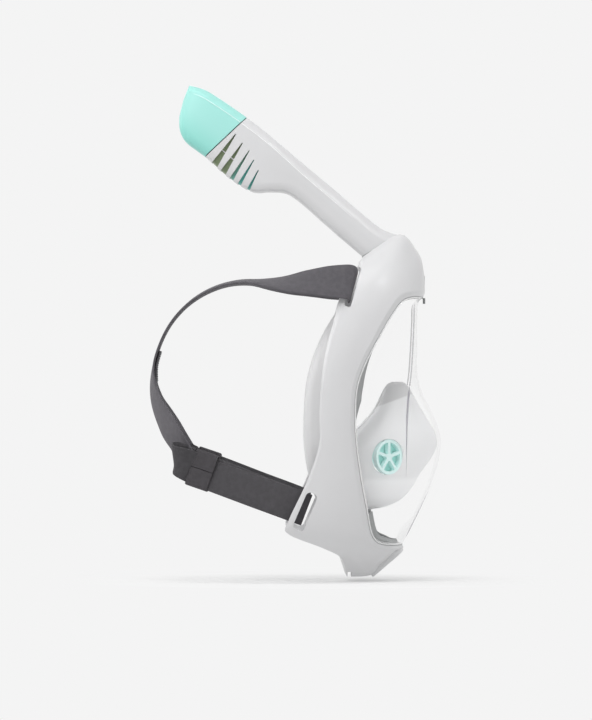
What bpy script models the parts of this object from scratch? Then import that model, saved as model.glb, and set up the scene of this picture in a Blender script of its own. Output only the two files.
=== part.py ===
"""Full-face snorkel mask, held on a head: front towards -Y, up +Z, the wearer's right side at -X.

The origin is the centre of the face opening. Every shape below is given in millimetres and
turned into metres by one factor, MM. Half widths are given as positive numbers and mirrored.
"""
import math

import bmesh
import bpy
from mathutils import Matrix, Vector

MM = 0.001

# Overall size of the mask shell. The outlines below are drawn for the BASE sizes.
MASK_WIDTH = 180.0
MASK_HEIGHT = 265.0
MASK_DEPTH = 122.0
BASE_WIDTH, BASE_HEIGHT, BASE_DEPTH = 180.0, 265.0, 122.0

FRAME_WALL = 3.2
LENS_WALL = 2.4
LENS_GAP = 0.6
SEAL_RADIUS = 1.2
RING_THICKNESS = 2.6
RING_HEIGHT = 8.0
SKIRT_WALL = 1.8
POCKET_WALL = 1.6
CLEARANCE = 0.4

VALVE_DIAMETER = 27.0
VALVE_SPOKES = 5
VALVE_DEPTH = 4.0
FLAP_THICKNESS = 0.8
CHIN_VALVE_DIAMETER = 22.0

STRAP_WIDTH = 25.0
STRAP_THICKNESS = 1.8
# Each slot is longer than the strap is wide and wider than what passes through it is thick.
SLOT_LENGTH = STRAP_WIDTH + 6.0
SLOT_WIDTH = 2 * STRAP_THICKNESS + 5.4
TOP_SLOT_LENGTH = STRAP_WIDTH + 7.0
TOP_SLOT_WIDTH = STRAP_THICKNESS + 3.4

TUBE_WALL = 2.2
TUBE_CORNER = 4.0
PLUG_WIDTH = 33.0
PLUG_DEPTH = 19.0
PLUG_LENGTH = 20.0
PLUG_WALL = 2.0
SEAM_GAP = 0.7
GASKET_WIDTH = 4.4
GASKET_THICKNESS = 3.0
GASKET_GAP = 0.5

PIN_RADIUS = 1.5
FLOAT_OPEN = math.radians(22)

# Points between two drawn stations, on rigid shells and on soft ones.
RIGID_STEPS = 2
SOFT_STEPS = 1

X, Y, Z = Vector((1, 0, 0)), Vector((0, 1, 0)), Vector((0, 0, 1))


# ---------------------------------------------------------------- scene and materials

def clear_scene():
    for item in list(bpy.data.objects):
        bpy.data.objects.remove(item, do_unlink=True)


def new_collection(name):
    made = bpy.data.collections.new(name)
    bpy.context.scene.collection.children.link(made)
    return made


clear_scene()
PARTS = new_collection("snorkel_mask")
CUTTERS = new_collection("cutters")


def material(name, colour, roughness, metallic=0.0, alpha=1.0):
    made = bpy.data.materials.new(name)
    made.use_nodes = True
    shader = made.node_tree.nodes["Principled BSDF"]
    shader.inputs["Base Color"].default_value = (*colour, 1.0)
    shader.inputs["Roughness"].default_value = roughness
    shader.inputs["Metallic"].default_value = metallic
    shader.inputs["Alpha"].default_value = alpha
    return made


GREY_PLASTIC = material("grey_plastic", (0.66, 0.66, 0.67), 0.42)
MINT_PLASTIC = material("mint_plastic", (0.36, 0.78, 0.70), 0.35)
CLEAR_LENS = material("clear_lens", (0.95, 0.97, 0.97), 0.05, alpha=0.3)
WHITE_SILICONE = material("white_silicone", (0.78, 0.78, 0.78), 0.5)
GREY_RUBBER = material("grey_rubber", (0.30, 0.31, 0.32), 0.6)
DARK_WEBBING = material("dark_webbing", (0.10, 0.10, 0.11), 0.9)
STEEL = material("steel", (0.6, 0.6, 0.62), 0.3, metallic=1.0)
FOAM = material("foam", (0.75, 0.76, 0.77), 0.8)


# ---------------------------------------------------------------- geometry helpers

def shell_point(half, y, z):
    """A point of the mask shell, drawn at the base size, at the size asked for."""
    return Vector((half * MASK_WIDTH / BASE_WIDTH, y * MASK_DEPTH / BASE_DEPTH,
                   z * MASK_HEIGHT / BASE_HEIGHT))


def smooth_line(points, steps):
    """Points along a Catmull-Rom curve through the given ones, which it keeps."""
    line = []
    for i in range(len(points) - 1):
        p1, p2 = points[i], points[i + 1]
        p0 = points[i - 1] if i else p1
        p3 = points[i + 2] if i + 2 < len(points) else p2
        for k in range(steps):
            t = k / steps
            line.append(0.5 * (2 * p1 + (p2 - p0) * t + (2 * p0 - 5 * p1 + 4 * p2 - p3) * t * t
                               + (3 * p1 - p0 - 3 * p2 + p3) * t ** 3))
    return line + [points[-1].copy()]


def finish_mesh(name, work, look, collection=None, outward=True):
    """Turns a bmesh in millimetres into a mesh object in metres."""
    bmesh.ops.remove_doubles(work, verts=work.verts, dist=1e-4)
    if outward:
        bmesh.ops.recalc_face_normals(work, faces=work.faces)
    bmesh.ops.scale(work, vec=(MM, MM, MM), verts=work.verts)
    mesh = bpy.data.meshes.new(name)
    work.to_mesh(mesh)
    work.free()
    mesh.shade_smooth()
    mesh.set_sharp_from_angle(angle=math.radians(35))
    made = bpy.data.objects.new(name, mesh)
    (collection or PARTS).objects.link(made)
    if look:
        mesh.materials.append(look)
    return made


def grid_mesh(rows, wrap_rows=False, wrap_columns=False):
    """A bmesh with a quad between each four neighbouring points of the rows."""
    work = bmesh.new()
    verts = [[work.verts.new(p) for p in row] for row in rows]
    count, width = len(rows), len(rows[0])
    for i in range(count if wrap_rows else count - 1):
        for j in range(width if wrap_columns else width - 1):
            a, b = verts[i][j], verts[i][(j + 1) % width]
            c, d = verts[(i + 1) % count][(j + 1) % width], verts[(i + 1) % count][j]
            work.faces.new((a, b, c, d))
    return work


def close_ends(work, width):
    """Faces over the first and the last ring of a tube whose rings hold this many points."""
    work.verts.ensure_lookup_table()
    count = len(work.verts)
    work.faces.new([work.verts[i] for i in range(width)])
    work.faces.new([work.verts[count - 1 - i] for i in range(width)])


def mirrored_shell(name, rows, look, wall, faces_in=False):
    """A shell from half a surface: mirrored at X = 0, with the wall added inside it.

    faces_in is for rows whose faces are wound so that they look inwards.
    """
    made = finish_mesh(name, grid_mesh(rows), look, outward=False)
    mirror = made.modifiers.new("mirror", "MIRROR")
    mirror.merge_threshold = 1e-5
    thick = made.modifiers.new("wall", "SOLIDIFY")
    thick.thickness = wall * MM
    thick.offset = 1.0 if faces_in else -1.0
    thick.use_even_offset = True
    return made


def closed_ring(name, rows, look):
    """A ring whose rows are closed sections."""
    return finish_mesh(name, grid_mesh(rows, wrap_rows=True, wrap_columns=True), look)


def both_sides(half_line):
    """A half ring of points, from the top centre to the bottom centre, made a whole ring."""
    other = [Vector((-p.x, p.y, p.z)) for p in reversed(half_line[1:-1])]
    return list(half_line) + other


def mirror_point(p):
    return Vector((-p.x, p.y, p.z))


def basis(origin, x_axis, z_axis):
    """A placement with its local Z along z_axis and its local X near x_axis, in millimetres."""
    z_axis = z_axis.normalized()
    y_axis = z_axis.cross(x_axis).normalized()
    x_axis = y_axis.cross(z_axis)
    turn = Matrix((x_axis, y_axis, z_axis)).transposed().to_4x4()
    return Matrix.Translation(origin * MM) @ turn


def prism(name, outline, low, high, look, place, collection=None, cutter=False):
    """An outline in the local XY plane, in millimetres, extruded from low to high."""
    work = bmesh.new()
    for level in (low, high):
        for x, y in outline:
            work.verts.new((x, y, level))
    work.verts.ensure_lookup_table()
    n = len(outline)
    work.faces.new([work.verts[i] for i in range(n)])
    work.faces.new([work.verts[n + i] for i in range(n)])
    for i in range(n):
        j = (i + 1) % n
        work.faces.new([work.verts[i], work.verts[j], work.verts[n + j], work.verts[n + i]])
    made = finish_mesh(name, work, look, collection)
    made.matrix_world = place
    if cutter:
        hide_cutter(made)
    return made


def hide_cutter(item):
    item.hide_render = True
    item.display_type = "WIRE"


def circle_outline(radius, count=32):
    return [(radius * math.cos(2 * math.pi * i / count), radius * math.sin(2 * math.pi * i / count))
            for i in range(count)]


def rounded_outline(width, depth, radius, steps=4):
    """A rectangle with round corners, centred on the origin."""
    points = []
    for quarter in range(4):
        cx = (width / 2 - radius) * (1 if quarter in (0, 3) else -1)
        cy = (depth / 2 - radius) * (1 if quarter in (0, 1) else -1)
        for k in range(steps + 1):
            angle = math.pi / 2 * (quarter + k / steps)
            points.append((cx + radius * math.cos(angle), cy + radius * math.sin(angle)))
    return points


def cut(target, cutter, operation="DIFFERENCE"):
    step = target.modifiers.new(operation.lower() + "_" + cutter.name, "BOOLEAN")
    step.operation = operation
    step.object = cutter
    step.solver = "EXACT"


# ---------------------------------------------------------------- the mask shell's outlines

# Stations run from the top centre, down one cheek, to the bottom centre. At each one the outer
# surface goes from the window's edge, over the front shoulder and the side, to the rear edge.
FRAME_STATIONS = [
    [(0, -80.5, 88), (0, -82, 89.5), (0, -81, 108), (0, -76.4, 123), (0, -61.4, 135.7),
     (0, -33.5, 119.3), (0, -30, 115)],
    [(26, -78.5, 88.2), (26, -80.4, 89.7), (25, -79, 107), (24.5, -74.5, 120), (24, -61.2, 135.5),
     (24, -33.5, 119.3), (24, -30.5, 114)],
    [(46, -71.8, 88.4), (47, -73, 90.8), (47, -69, 102), (47, -63, 111), (47, -53, 118),
     (48, -33, 114.5), (49, -29.5, 112)],
    [(56.5, -63, 84.8), (59, -62.5, 87.8), (60.5, -56, 95.5), (61.5, -49, 100.5), (62, -41, 103.5),
     (61.5, -28, 103.5), (61, -24, 102)],
    [(64, -54, 73), (67, -53, 76), (69.5, -46, 80.5), (71, -38, 84.5), (71.5, -30, 87),
     (70.5, -19.5, 88), (69.5, -15.5, 87.5)],
    [(71, -43, 54), (74.2, -41, 55.5), (77, -34, 58), (79.3, -27, 61), (80, -20, 63.5),
     (79.5, -12.5, 66), (78.5, -9.5, 66.5)],
    [(76, -33.5, 36), (79.3, -31, 37), (82, -25, 39), (84.3, -18.5, 41), (85.3, -12, 43.5),
     (85, -6.5, 46), (84, -4.3, 46.5)],
    [(79, -27.5, 18), (82.3, -25, 18.5), (85, -19.5, 19.5), (87.3, -13, 20.5), (88.6, -7.5, 21.5),
     (88.7, -2.5, 22.5), (87.8, -0.8, 23)],
    [(80, -26, -2), (83.4, -23.5, -2), (86.2, -18, -2), (88.4, -12, -2), (89.6, -6.5, -2),
     (89.8, -1, -2), (89, 0.8, -2)],
    [(79, -27, -25), (82.4, -24.5, -25), (85.6, -18.5, -25.5), (88, -12, -26), (89.5, -6, -26.5),
     (90, -0.5, -27), (89.3, 1.2, -27)],
    [(75.5, -30.3, -50), (79, -27.5, -51), (83, -20, -52), (86.5, -11, -53), (88.6, -2, -54),
     (90, 8.6, -55), (89.5, 11, -55.5)],
    [(69.5, -34.5, -73), (73, -31.5, -74.5), (77.5, -23, -76.5), (82, -12, -79), (86.5, 4, -82),
     (90, 22, -84), (89.7, 24.6, -84.5)],
    [(62, -38, -92), (65.5, -34.8, -93.5), (69.5, -27, -95), (73.5, -17, -96.3), (78, -2, -97.5),
     (84.3, 22.2, -95.2), (84.3, 24.8, -94.4)],
    [(54, -42, -100.5), (56.5, -39.5, -102.8), (58.5, -34, -104.3), (60, -27, -105.5),
     (61, -17, -106.3), (62, -4, -106.6), (61.5, -1.5, -105.8)],
    [(43, -48.5, -104.2), (44, -47.5, -107), (44, -43, -110.8), (43.5, -36, -114.5),
     (43, -27, -116.5), (43, -16.5, -114.5), (43, -14, -112)],
    [(25, -58.5, -105.2), (25.5, -59.4, -107.6), (26, -55.2, -111.6), (26.5, -46, -120),
     (26.5, -38.4, -127), (26.5, -20.5, -128), (26.5, -15, -113.5)],
    [(0, -64.3, -105.3), (0, -65.2, -107.2), (0, -58.4, -111.4), (0, -47.6, -120.2),
     (0, -38.4, -128.4), (0, -20.3, -129.5), (0, -14.5, -112.5)],
]

# The rear ring that clamps the skirt, one point for each station: half width, Y and Z.
RING_STATIONS = [
    (0, -34, 105), (23, -34, 104), (40, -32, 100), (53, -27.5, 92), (63, -20, 79.5),
    (73, -14, 62), (79, -10, 43.5), (82.3, -6.5, 21.5), (83.6, -5, -2), (83.4, -5, -26),
    (81, -6, -49), (76, -9, -70), (69, -13, -86.5), (57, -17, -97.5), (41, -20, -103.5),
    (24, -22, -106), (0, -22, -106.5),
]

# The line along which the skirt is furthest back, against the face.
SKIRT_STATIONS = [
    (0, -27, 96), (21, -26.5, 95), (37, -23, 90), (48.5, -17, 82), (58, -9.5, 72),
    (66.5, -1.5, 58), (72.5, 5.5, 41), (76.5, 10.5, 21), (78.3, 12.4, -2), (78, 12.6, -24),
    (75, 10, -45), (70, 5, -64), (62, -1, -79), (50.5, -6, -90), (37, -9.5, -96.5),
    (21, -11.5, -99.5), (0, -12, -100.5),
]

# The visor's centre line from top to bottom, at the frame's stations 3 to 13.
LENS_CENTRE = [(-76.6, 82), (-76, 68), (-76, 48), (-76.2, 28), (-80.5, 12), (-88.5, -4),
               (-93.8, -20), (-93.2, -36), (-88.2, -54), (-81, -70.5), (-73.5, -86)]
# Where the side panels fold into the front panel, at the same stations: half width and Y.
LENS_CREASE = [(47, -73.2), (50, -72.6), (52, -71.8), (52, -70.6), (52, -68.8), (51, -67.6),
               (50, -67.2), (48.5, -67), (46, -66.2), (42, -65.2), (37, -63.6)]

# The nose and mouth pocket, row by row: Z, rear Y, front Y and half width.
POCKET_ROWS = [
    (22.0, -56, -64, 0), (19.5, -52, -68, 11), (12.5, -48.5, -72.5, 20), (2.5, -44, -78, 29),
    (-8.0, -36, -84.5, 37.5), (-17.5, -26, -89.8, 44), (-27.5, -13, -91.2, 49),
    (-37.0, -10, -87, 50), (-49.0, -9, -78.5, 48.5), (-60.0, -11, -72, 44), (-69.0, -15, -64, 37),
    (-75.0, -20, -52, 26), (-77.5, -26, -40, 0),
]
# One row's plan shape, as shares of the half width and of the depth, rear to front centre.
POCKET_PLAN = [(1.06, 0.0), (1.0, 0.08), (1.02, 0.28), (0.93, 0.48), (0.70, 0.69), (0.40, 0.87),
               (0.16, 0.97), (0.0, 1.0)]


def frame_columns(steps=RIGID_STEPS):
    """The frame's surface as columns of points along the ring, one for each outline point."""
    width = len(FRAME_STATIONS[0])
    return [smooth_line([shell_point(*station[j]) for station in FRAME_STATIONS], steps)
            for j in range(width)]


def rows_of(columns):
    return [list(row) for row in zip(*columns)]


def window_frames(steps=RIGID_STEPS):
    """Along the window's edge: the edge point, the way into the window and the outward normal."""
    columns = frame_columns(steps)
    edge, shoulder = columns[0], columns[1]
    frames = []
    for i, p in enumerate(edge):
        into = (p - shoulder[i]).normalized()
        before, after = edge[max(i - 1, 0)], edge[min(i + 1, len(edge) - 1)]
        along = (after - before).normalized()
        normal = along.cross(into).normalized()
        if normal.dot(Vector((p.x, p.y, 0))) < 0:
            normal.negate()
        frames.append((p, into, normal))
    return frames


# ---------------------------------------------------------------- frame, ring, skirt

def make_frame():
    return mirrored_shell("main_frame", rows_of(frame_columns()), GREY_PLASTIC, FRAME_WALL,
                          faces_in=True)


def ring_line(stations, steps=RIGID_STEPS):
    return smooth_line([shell_point(*s) for s in stations], steps)


def centre_of(p):
    """The point inside the ring that a section at p leans towards."""
    return Vector((0, p.y, 0.45 * p.z))


def make_clamp_ring():
    rows = []
    for p in both_sides(ring_line(RING_STATIONS)):
        into = (centre_of(p) - p).normalized()
        half, tall = RING_THICKNESS / 2, RING_HEIGHT / 2
        rows.append([p - into * half - Y * tall, p + into * half - Y * tall,
                     p + into * half + Y * tall, p - into * half + Y * tall])
    return closed_ring("skirt_clamp_ring", rows, GREY_PLASTIC)


def make_skirt():
    ring = ring_line(RING_STATIONS, SOFT_STEPS)
    back = ring_line(SKIRT_STATIONS, SOFT_STEPS)
    rows = []
    for r, s in zip(ring, back):
        into_ring = (centre_of(r) - r).normalized()
        into = (centre_of(s) - s).normalized()
        root = r + into_ring * (RING_THICKNESS / 2 + CLEARANCE + 0.4)
        foot = root + into_ring * 0.5 - Y * (RING_HEIGHT / 2 - 1)
        rise = s - into * 2.5 - Y * 4
        rows.append([foot, root + Y * 1.0, rise.lerp(root, 0.35), rise, s, s + into * 7 - Y * 0.6,
                     s + into * 15 - Y * 3.6, s + into * 20 - Y * 8.5])
    return mirrored_shell("face_skirt", rows, WHITE_SILICONE, SKIRT_WALL, faces_in=True)


# ---------------------------------------------------------------- visor

def lens_rows(steps=RIGID_STEPS):
    """Half of the visor's surface, row by row from the window's top edge to its bottom edge."""
    stations = [shell_point(*s[0]) for s in FRAME_STATIONS]
    shoulders = [shell_point(*s[1]) for s in FRAME_STATIONS]
    edge = [p + (p - q).normalized() * LENS_GAP for p, q in zip(stations, shoulders)]
    coarse = [[edge[2], edge[2].lerp(edge[1], 0.5), edge[1], edge[1].lerp(edge[0], 0.5), edge[0]]]
    for k, (centre, crease) in enumerate(zip(LENS_CENTRE, LENS_CREASE)):
        side = edge[k + 3]
        middle = shell_point(0, *centre)
        fold = shell_point(crease[0], crease[1], 0)
        share = (fold.y - side.y) / (middle.y - side.y)
        fold.z = side.z + (middle.z - side.z) * share
        panel = (side + fold) / 2 + Vector((0.8, -0.8, 0))
        front = fold.lerp(middle, 0.5)
        front.y -= 0.30 * abs(middle.y - fold.y)
        coarse.append([side, panel, fold, front, middle])
    coarse.append([edge[14], edge[14].lerp(edge[15], 0.5), edge[15], edge[15].lerp(edge[16], 0.5),
                   edge[16]])
    return rows_of([smooth_line(list(column), steps) for column in zip(*coarse)])


def make_lens():
    return mirrored_shell("visor_lens", lens_rows(), CLEAR_LENS, LENS_WALL)


def make_visor_seal():
    """A rubber cord behind the visor's edge, held between it and the frame."""
    data = bpy.data.curves.new("visor_seal", "CURVE")
    data.dimensions = "3D"
    data.bevel_depth = SEAL_RADIUS * MM
    data.bevel_resolution = 1
    half = [p - normal * (FRAME_WALL + 2.4) + into * 1.6 for p, into, normal in window_frames(2)]
    half[0].x = half[-1].x = 0
    line = both_sides(half)
    spline = data.splines.new("POLY")
    spline.points.add(len(line) - 1)
    spline.use_cyclic_u = True
    for point, p in zip(spline.points, line):
        point.co = (*(p * MM), 1)
    made = bpy.data.objects.new("visor_seal", data)
    PARTS.objects.link(made)
    data.materials.append(GREY_RUBBER)
    return made


# ---------------------------------------------------------------- nose and mouth pocket

def pocket_point(row, share):
    height, rear, front, half = row
    across, along = share
    return shell_point(half * across, rear + (front - rear) * along, height)


def make_pocket():
    columns = [smooth_line([pocket_point(row, share) for row in POCKET_ROWS], SOFT_STEPS)
               for share in POCKET_PLAN]
    return mirrored_shell("orinasal_pocket", rows_of(columns), WHITE_SILICONE, POCKET_WALL)


VALVE_CENTRE = shell_point(42.0, -52.2, -36.0)
VALVE_NORMAL = Vector((0.75, -0.66, 0.0)).normalized()


def valve_place(side, out=0.0):
    """The placement of an inlet valve, its local Z pointing out of the pocket."""
    centre = VALVE_CENTRE + VALVE_NORMAL * out
    normal = VALVE_NORMAL.copy()
    if side < 0:
        centre, normal = mirror_point(centre), mirror_point(normal)
    return basis(centre, Z.cross(normal), normal)


def spoked_disc(name, radius, rim, hub, spoke, depth, look, place, low=0.0):
    """A round grille: a flat outline with one sector-shaped hole between each two spokes."""
    data = bpy.data.curves.new(name, "CURVE")
    data.dimensions = "2D"
    data.fill_mode = "BOTH"
    data.extrude = depth / 2 * MM

    def loop(points):
        spline = data.splines.new("POLY")
        spline.points.add(len(points) - 1)
        spline.use_cyclic_u = True
        for point, (x, y) in zip(spline.points, points):
            point.co = (x * MM, y * MM, 0, 1)

    loop(circle_outline(radius, 40))
    for k in range(VALVE_SPOKES):
        start = 2 * math.pi * k / VALVE_SPOKES + math.pi / 2
        end = start + 2 * math.pi / VALVE_SPOKES
        points = []
        for arc, backwards in ((radius - rim, False), (hub, True)):
            trim = spoke / 2 / arc
            angles = [start + trim + (end - start - 2 * trim) * i / 6 for i in range(7)]
            if backwards:
                angles.reverse()
            points += [(arc * math.cos(a), arc * math.sin(a)) for a in angles]
        loop(points)
    curve = bpy.data.objects.new(name + "_outline", data)
    bpy.context.scene.collection.objects.link(curve)
    bpy.context.view_layer.update()
    solid = bpy.data.meshes.new_from_object(curve.evaluated_get(
        bpy.context.evaluated_depsgraph_get()))
    bpy.data.objects.remove(curve)
    work = bmesh.new()
    work.from_mesh(solid)
    bmesh.ops.translate(work, vec=(0, 0, (low + depth / 2) * MM), verts=work.verts)
    bmesh.ops.scale(work, vec=(1 / MM, 1 / MM, 1 / MM), verts=work.verts)
    made = finish_mesh(name, work, look)
    made.matrix_world = place
    return made


def disc(name, radius, low, high, look, place, count=32, collection=None, cutter=False):
    return prism(name, circle_outline(radius, count), low, high, look, place, collection, cutter)


def make_inlet_valves(pocket):
    """On each side a spoked seat in the pocket's wall and a thin flap behind it."""
    radius = VALVE_DIAMETER / 2
    for side, word in ((-1, "right"), (1, "left")):
        place = valve_place(side)
        spoked_disc("inlet_valve_seat_" + word, radius, 2.2, 3.0, 2.2, VALVE_DEPTH, MINT_PLASTIC,
                    place, low=-VALVE_DEPTH / 2)
        disc("inlet_valve_flap_" + word, radius - 1.6, -VALVE_DEPTH / 2 - CLEARANCE - FLAP_THICKNESS,
             -VALVE_DEPTH / 2 - CLEARANCE, WHITE_SILICONE, place)
        hole = disc("inlet_hole_" + word, radius + CLEARANCE, -9, 9, None, place,
                    collection=CUTTERS, cutter=True)
        cut(pocket, hole)


# ---------------------------------------------------------------- chin purge valve

# The slanted face under the visor, along which the purge valve and its cover lie.
CHIN_SLOPE_TOP = shell_point(0, -58.4, -111.4)
CHIN_SLOPE_LOW = shell_point(0, -38.4, -128.4)
COVER_WIDTH = 46.0
COVER_THICKNESS = 1.4
COVER_ROOM = 2.2
COVER_VENTS = 4


def chin_place(out=0.0):
    """On the middle of the slope, with local Z out of the chin and local X across the mask."""
    down = (CHIN_SLOPE_LOW - CHIN_SLOPE_TOP).normalized()
    normal = X.cross(down).normalized()
    if normal.y > 0:
        normal.negate()
    middle = CHIN_SLOPE_TOP.lerp(CHIN_SLOPE_LOW, 0.5)
    return basis(middle + normal * out, X, normal)


def make_chin_valve(frame):
    """The purge valve in the chin: a spoked seat in the wall, a flap on it and a vented cover."""
    place = chin_place()
    radius = CHIN_VALVE_DIAMETER / 2
    cut(frame, disc("purge_hole", radius + CLEARANCE, -12, 6, None, place, collection=CUTTERS,
                    cutter=True))
    spoked_disc("chin_valve_seat", radius, 1.8, 2.6, 1.8, FRAME_WALL, GREY_PLASTIC, place,
                low=-FRAME_WALL)
    disc("chin_valve_flap", radius - 1.0, CLEARANCE, CLEARANCE + FLAP_THICKNESS, GREY_RUBBER, place)
    length = (CHIN_SLOPE_LOW - CHIN_SLOPE_TOP).length
    cover_low = COVER_ROOM
    cover = prism("chin_valve_cover", rounded_outline(COVER_WIDTH, length - 2.4, 3), CLEARANCE,
                  cover_low + COVER_THICKNESS, GREY_PLASTIC, place)
    cut(cover, prism("cover_room", rounded_outline(COVER_WIDTH - 4, length - 4, 2), -1, cover_low,
                     None, place, CUTTERS, cutter=True))
    for k in range(COVER_VENTS):
        shift = (k - (COVER_VENTS - 1) / 2) * 4.6
        vent = rounded_outline(26, 2.2, 1.0, 2)
        cut(cover, prism(f"vent_{k}", [(x, y + shift) for x, y in vent], 0, 9, None, place,
                         CUTTERS, cutter=True))


# ---------------------------------------------------------------- strap slots

# The lower strap's lower edge keeps its place on the flange, however wide the strap is.
BASE_STRAP_WIDTH = 25.0
LOWER_LIFT = (STRAP_WIDTH - BASE_STRAP_WIDTH * MASK_HEIGHT / BASE_HEIGHT) / 2
LOW_SLOT_CENTRE = shell_point(86.5, 11.7, -77.5) + Z * LOWER_LIFT
LOW_SLOT_PATH = shell_point(0, -0.918, -0.397).normalized()
LOW_SLOT_LINE = Vector((0, -LOW_SLOT_PATH.z, LOW_SLOT_PATH.y))
TOP_SLOT_CENTRE = shell_point(63.0, -25.0, 95.5)
TOP_SLOT_LINE = Vector((0, 0.27, -0.963))


def slot_place(centre, line, side):
    """A slot's placement: local X along its length, local Z across the mask's side wall."""
    centre = mirror_point(centre) if side < 0 else centre
    out = X * side
    return basis(centre, line, out)


def cut_strap_slots(frame):
    for side, word in ((-1, "right"), (1, "left")):
        low = prism("low_slot_" + word, rounded_outline(SLOT_LENGTH, SLOT_WIDTH, 3.5), -12, 12, None,
                    slot_place(LOW_SLOT_CENTRE, LOW_SLOT_LINE, side), CUTTERS, cutter=True)
        top = prism("top_slot_" + word, rounded_outline(TOP_SLOT_LENGTH, TOP_SLOT_WIDTH, 1.8), -14,
                    14, None, slot_place(TOP_SLOT_CENTRE, TOP_SLOT_LINE, side), CUTTERS, cutter=True)
        cut(frame, low)
        cut(frame, top)


# ---------------------------------------------------------------- snorkel

SEAM_REAR = shell_point(0, -33.5, 119.3)
SEAM_FRONT = shell_point(0, -61.4, 135.7)
SEAM_MIDDLE = SEAM_REAR.lerp(SEAM_FRONT, 0.5)
SEAM_NORMAL = X.cross(SEAM_FRONT - SEAM_REAR).normalized()
if SEAM_NORMAL.z < 0:
    SEAM_NORMAL.negate()

# The snorkel is drawn from this seam and moved and turned with the housing's own seam.
DRAWN_REAR, DRAWN_FRONT = Vector((0, -33.5, 119.3)), Vector((0, -61.4, 135.7))
SEAM_TURN = (DRAWN_FRONT - DRAWN_REAR).rotation_difference(SEAM_FRONT - SEAM_REAR)
SNORKEL_AXIS = SEAM_TURN @ Vector((0, 0.766, 0.643)).normalized()


def on_seam(y, z):
    """Y and Z of a point drawn from the base seam, carried to the housing's seam."""
    point = SEAM_MIDDLE + SEAM_TURN @ (Vector((0, y, z)) - DRAWN_REAR.lerp(DRAWN_FRONT, 0.5))
    return point.y, point.z


# The tube from the seam to the cap: the underside's and the upper side's Y and Z, the half width
# and the bevel between side and upper face.
TUBE_STATIONS = [
    ((-33.5, 119.3), (-61.4, 135.7), 22.5, 10.0), ((-26, 125.6), (-48.5, 140.2), 22.0, 7.0),
    ((-15.6, 134.3), (-31.4, 153.6), 21.5, 6.0), ((0, 148.0), (-15.6, 167.3), 21.5, 6.0),
    ((14.5, 160.8), (1.5, 181.6), 22.0, 6.0), ((25.7, 168.1), (13.0, 191.2), 23.0, 5.8),
    ((38.5, 169.4), (24.0, 200.5), 24.2, 5.4), ((52.8, 169.7), (35.5, 210.2), 25.0, 5.0),
    ((71.3, 180.8), (46.5, 219.2), 25.0, 5.0), ((88.4, 196.4), (56.4, 226.6), 25.0, 5.0),
]
CAP_STATIONS = [
    ((88.9, 196.9), (56.9, 227.1), 25.0, 5.0), ((96.2, 202.2), (67.0, 234.2), 24.8, 5.0),
    ((102.6, 207.0), (78.0, 241.6), 24.2, 5.0), ((106.6, 211.8), (88.0, 247.8), 23.0, 5.0),
    ((108.9, 218.4), (96.0, 250.6), 21.0, 4.5), ((109.2, 227.0), (101.4, 251.8), 18.0, 4.0),
]
TUBE_STATIONS = [(on_seam(*low), on_seam(*high), *sizes) for low, high, *sizes in TUBE_STATIONS]
CAP_STATIONS = [(on_seam(*low), on_seam(*high), *sizes) for low, high, *sizes in CAP_STATIONS]
# Each louvre's narrow upper end and the two ends of its wide lower mouth, Y and Z.
LOUVRE_TIPS = [((65.5, 214.4), (84.0, 192.5), (79.6, 189.3)),
               ((60.2, 207.6), (76.9, 186.6), (73.2, 183.4)),
               ((55.0, 201.6), (69.8, 180.9), (67.2, 179.0)),
               ((51.4, 194.4), (63.8, 176.2), (61.6, 174.6)),
               ((47.9, 186.4), (56.8, 171.9), (54.8, 170.6))]
LOUVRE_TIPS = [[on_seam(*point) for point in louvre] for louvre in LOUVRE_TIPS]
LOUVRE_HALF_SLIT = 0.4


def tube_section(low, high, half, bevel, inset=0.0):
    """One closed ring of the tube: flat sides, round lower corners and two upper bevels."""
    lower, upper = Vector((0, *low)), Vector((0, *high))
    up = (upper - lower).normalized()
    lower, upper = lower + up * inset, upper - up * inset
    depth = (upper - lower).length
    width, r = half - inset, TUBE_CORNER
    outline = [(width - r, 0), (width - 0.3 * r, 0.3 * r), (width, r), (width, depth - bevel),
               (width - 1.2 * bevel, depth)]
    ring = outline + [(-x, y) for x, y in reversed(outline)]
    return [lower + X * x + up * y for x, y in ring]


def smooth_stations(stations, steps):
    """The stations with more between them, each value on a smooth curve."""
    ends = [(Vector((half, bevel, 0)), Vector((0, *low)), Vector((0, *high)))
            for low, high, half, bevel in stations]
    sizes, lows, highs = (smooth_line(list(part), steps) for part in zip(*ends))
    return [((b.y, b.z), (t.y, t.z), s.x, s.y) for s, b, t in zip(sizes, lows, highs)]


def tube_shell(name, stations, look, closed_top, lift):
    """A hollow shell round the stations, its wall inside, open below and closed above if asked."""
    rows = [[p + SEAM_NORMAL * lift for p in tube_section(*s)] for s in stations]
    work = grid_mesh(rows, wrap_columns=True)
    if closed_top:
        work.verts.ensure_lookup_table()
        width = len(rows[0])
        work.faces.new([work.verts[len(work.verts) - 1 - i] for i in range(width)])
    bmesh.ops.recalc_face_normals(work, faces=work.faces)
    made = finish_mesh(name, work, look, outward=False)
    middle = sum((p for row in rows for p in row), Vector()) / (len(rows) * len(rows[0]))
    face = made.data.polygons[0]
    looks_in = face.normal.dot(face.center - middle * MM) < 0
    thick = made.modifiers.new("wall", "SOLIDIFY")
    thick.thickness = TUBE_WALL * MM
    thick.offset = 1.0 if looks_in else -1.0
    thick.use_even_offset = True
    return made


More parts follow.
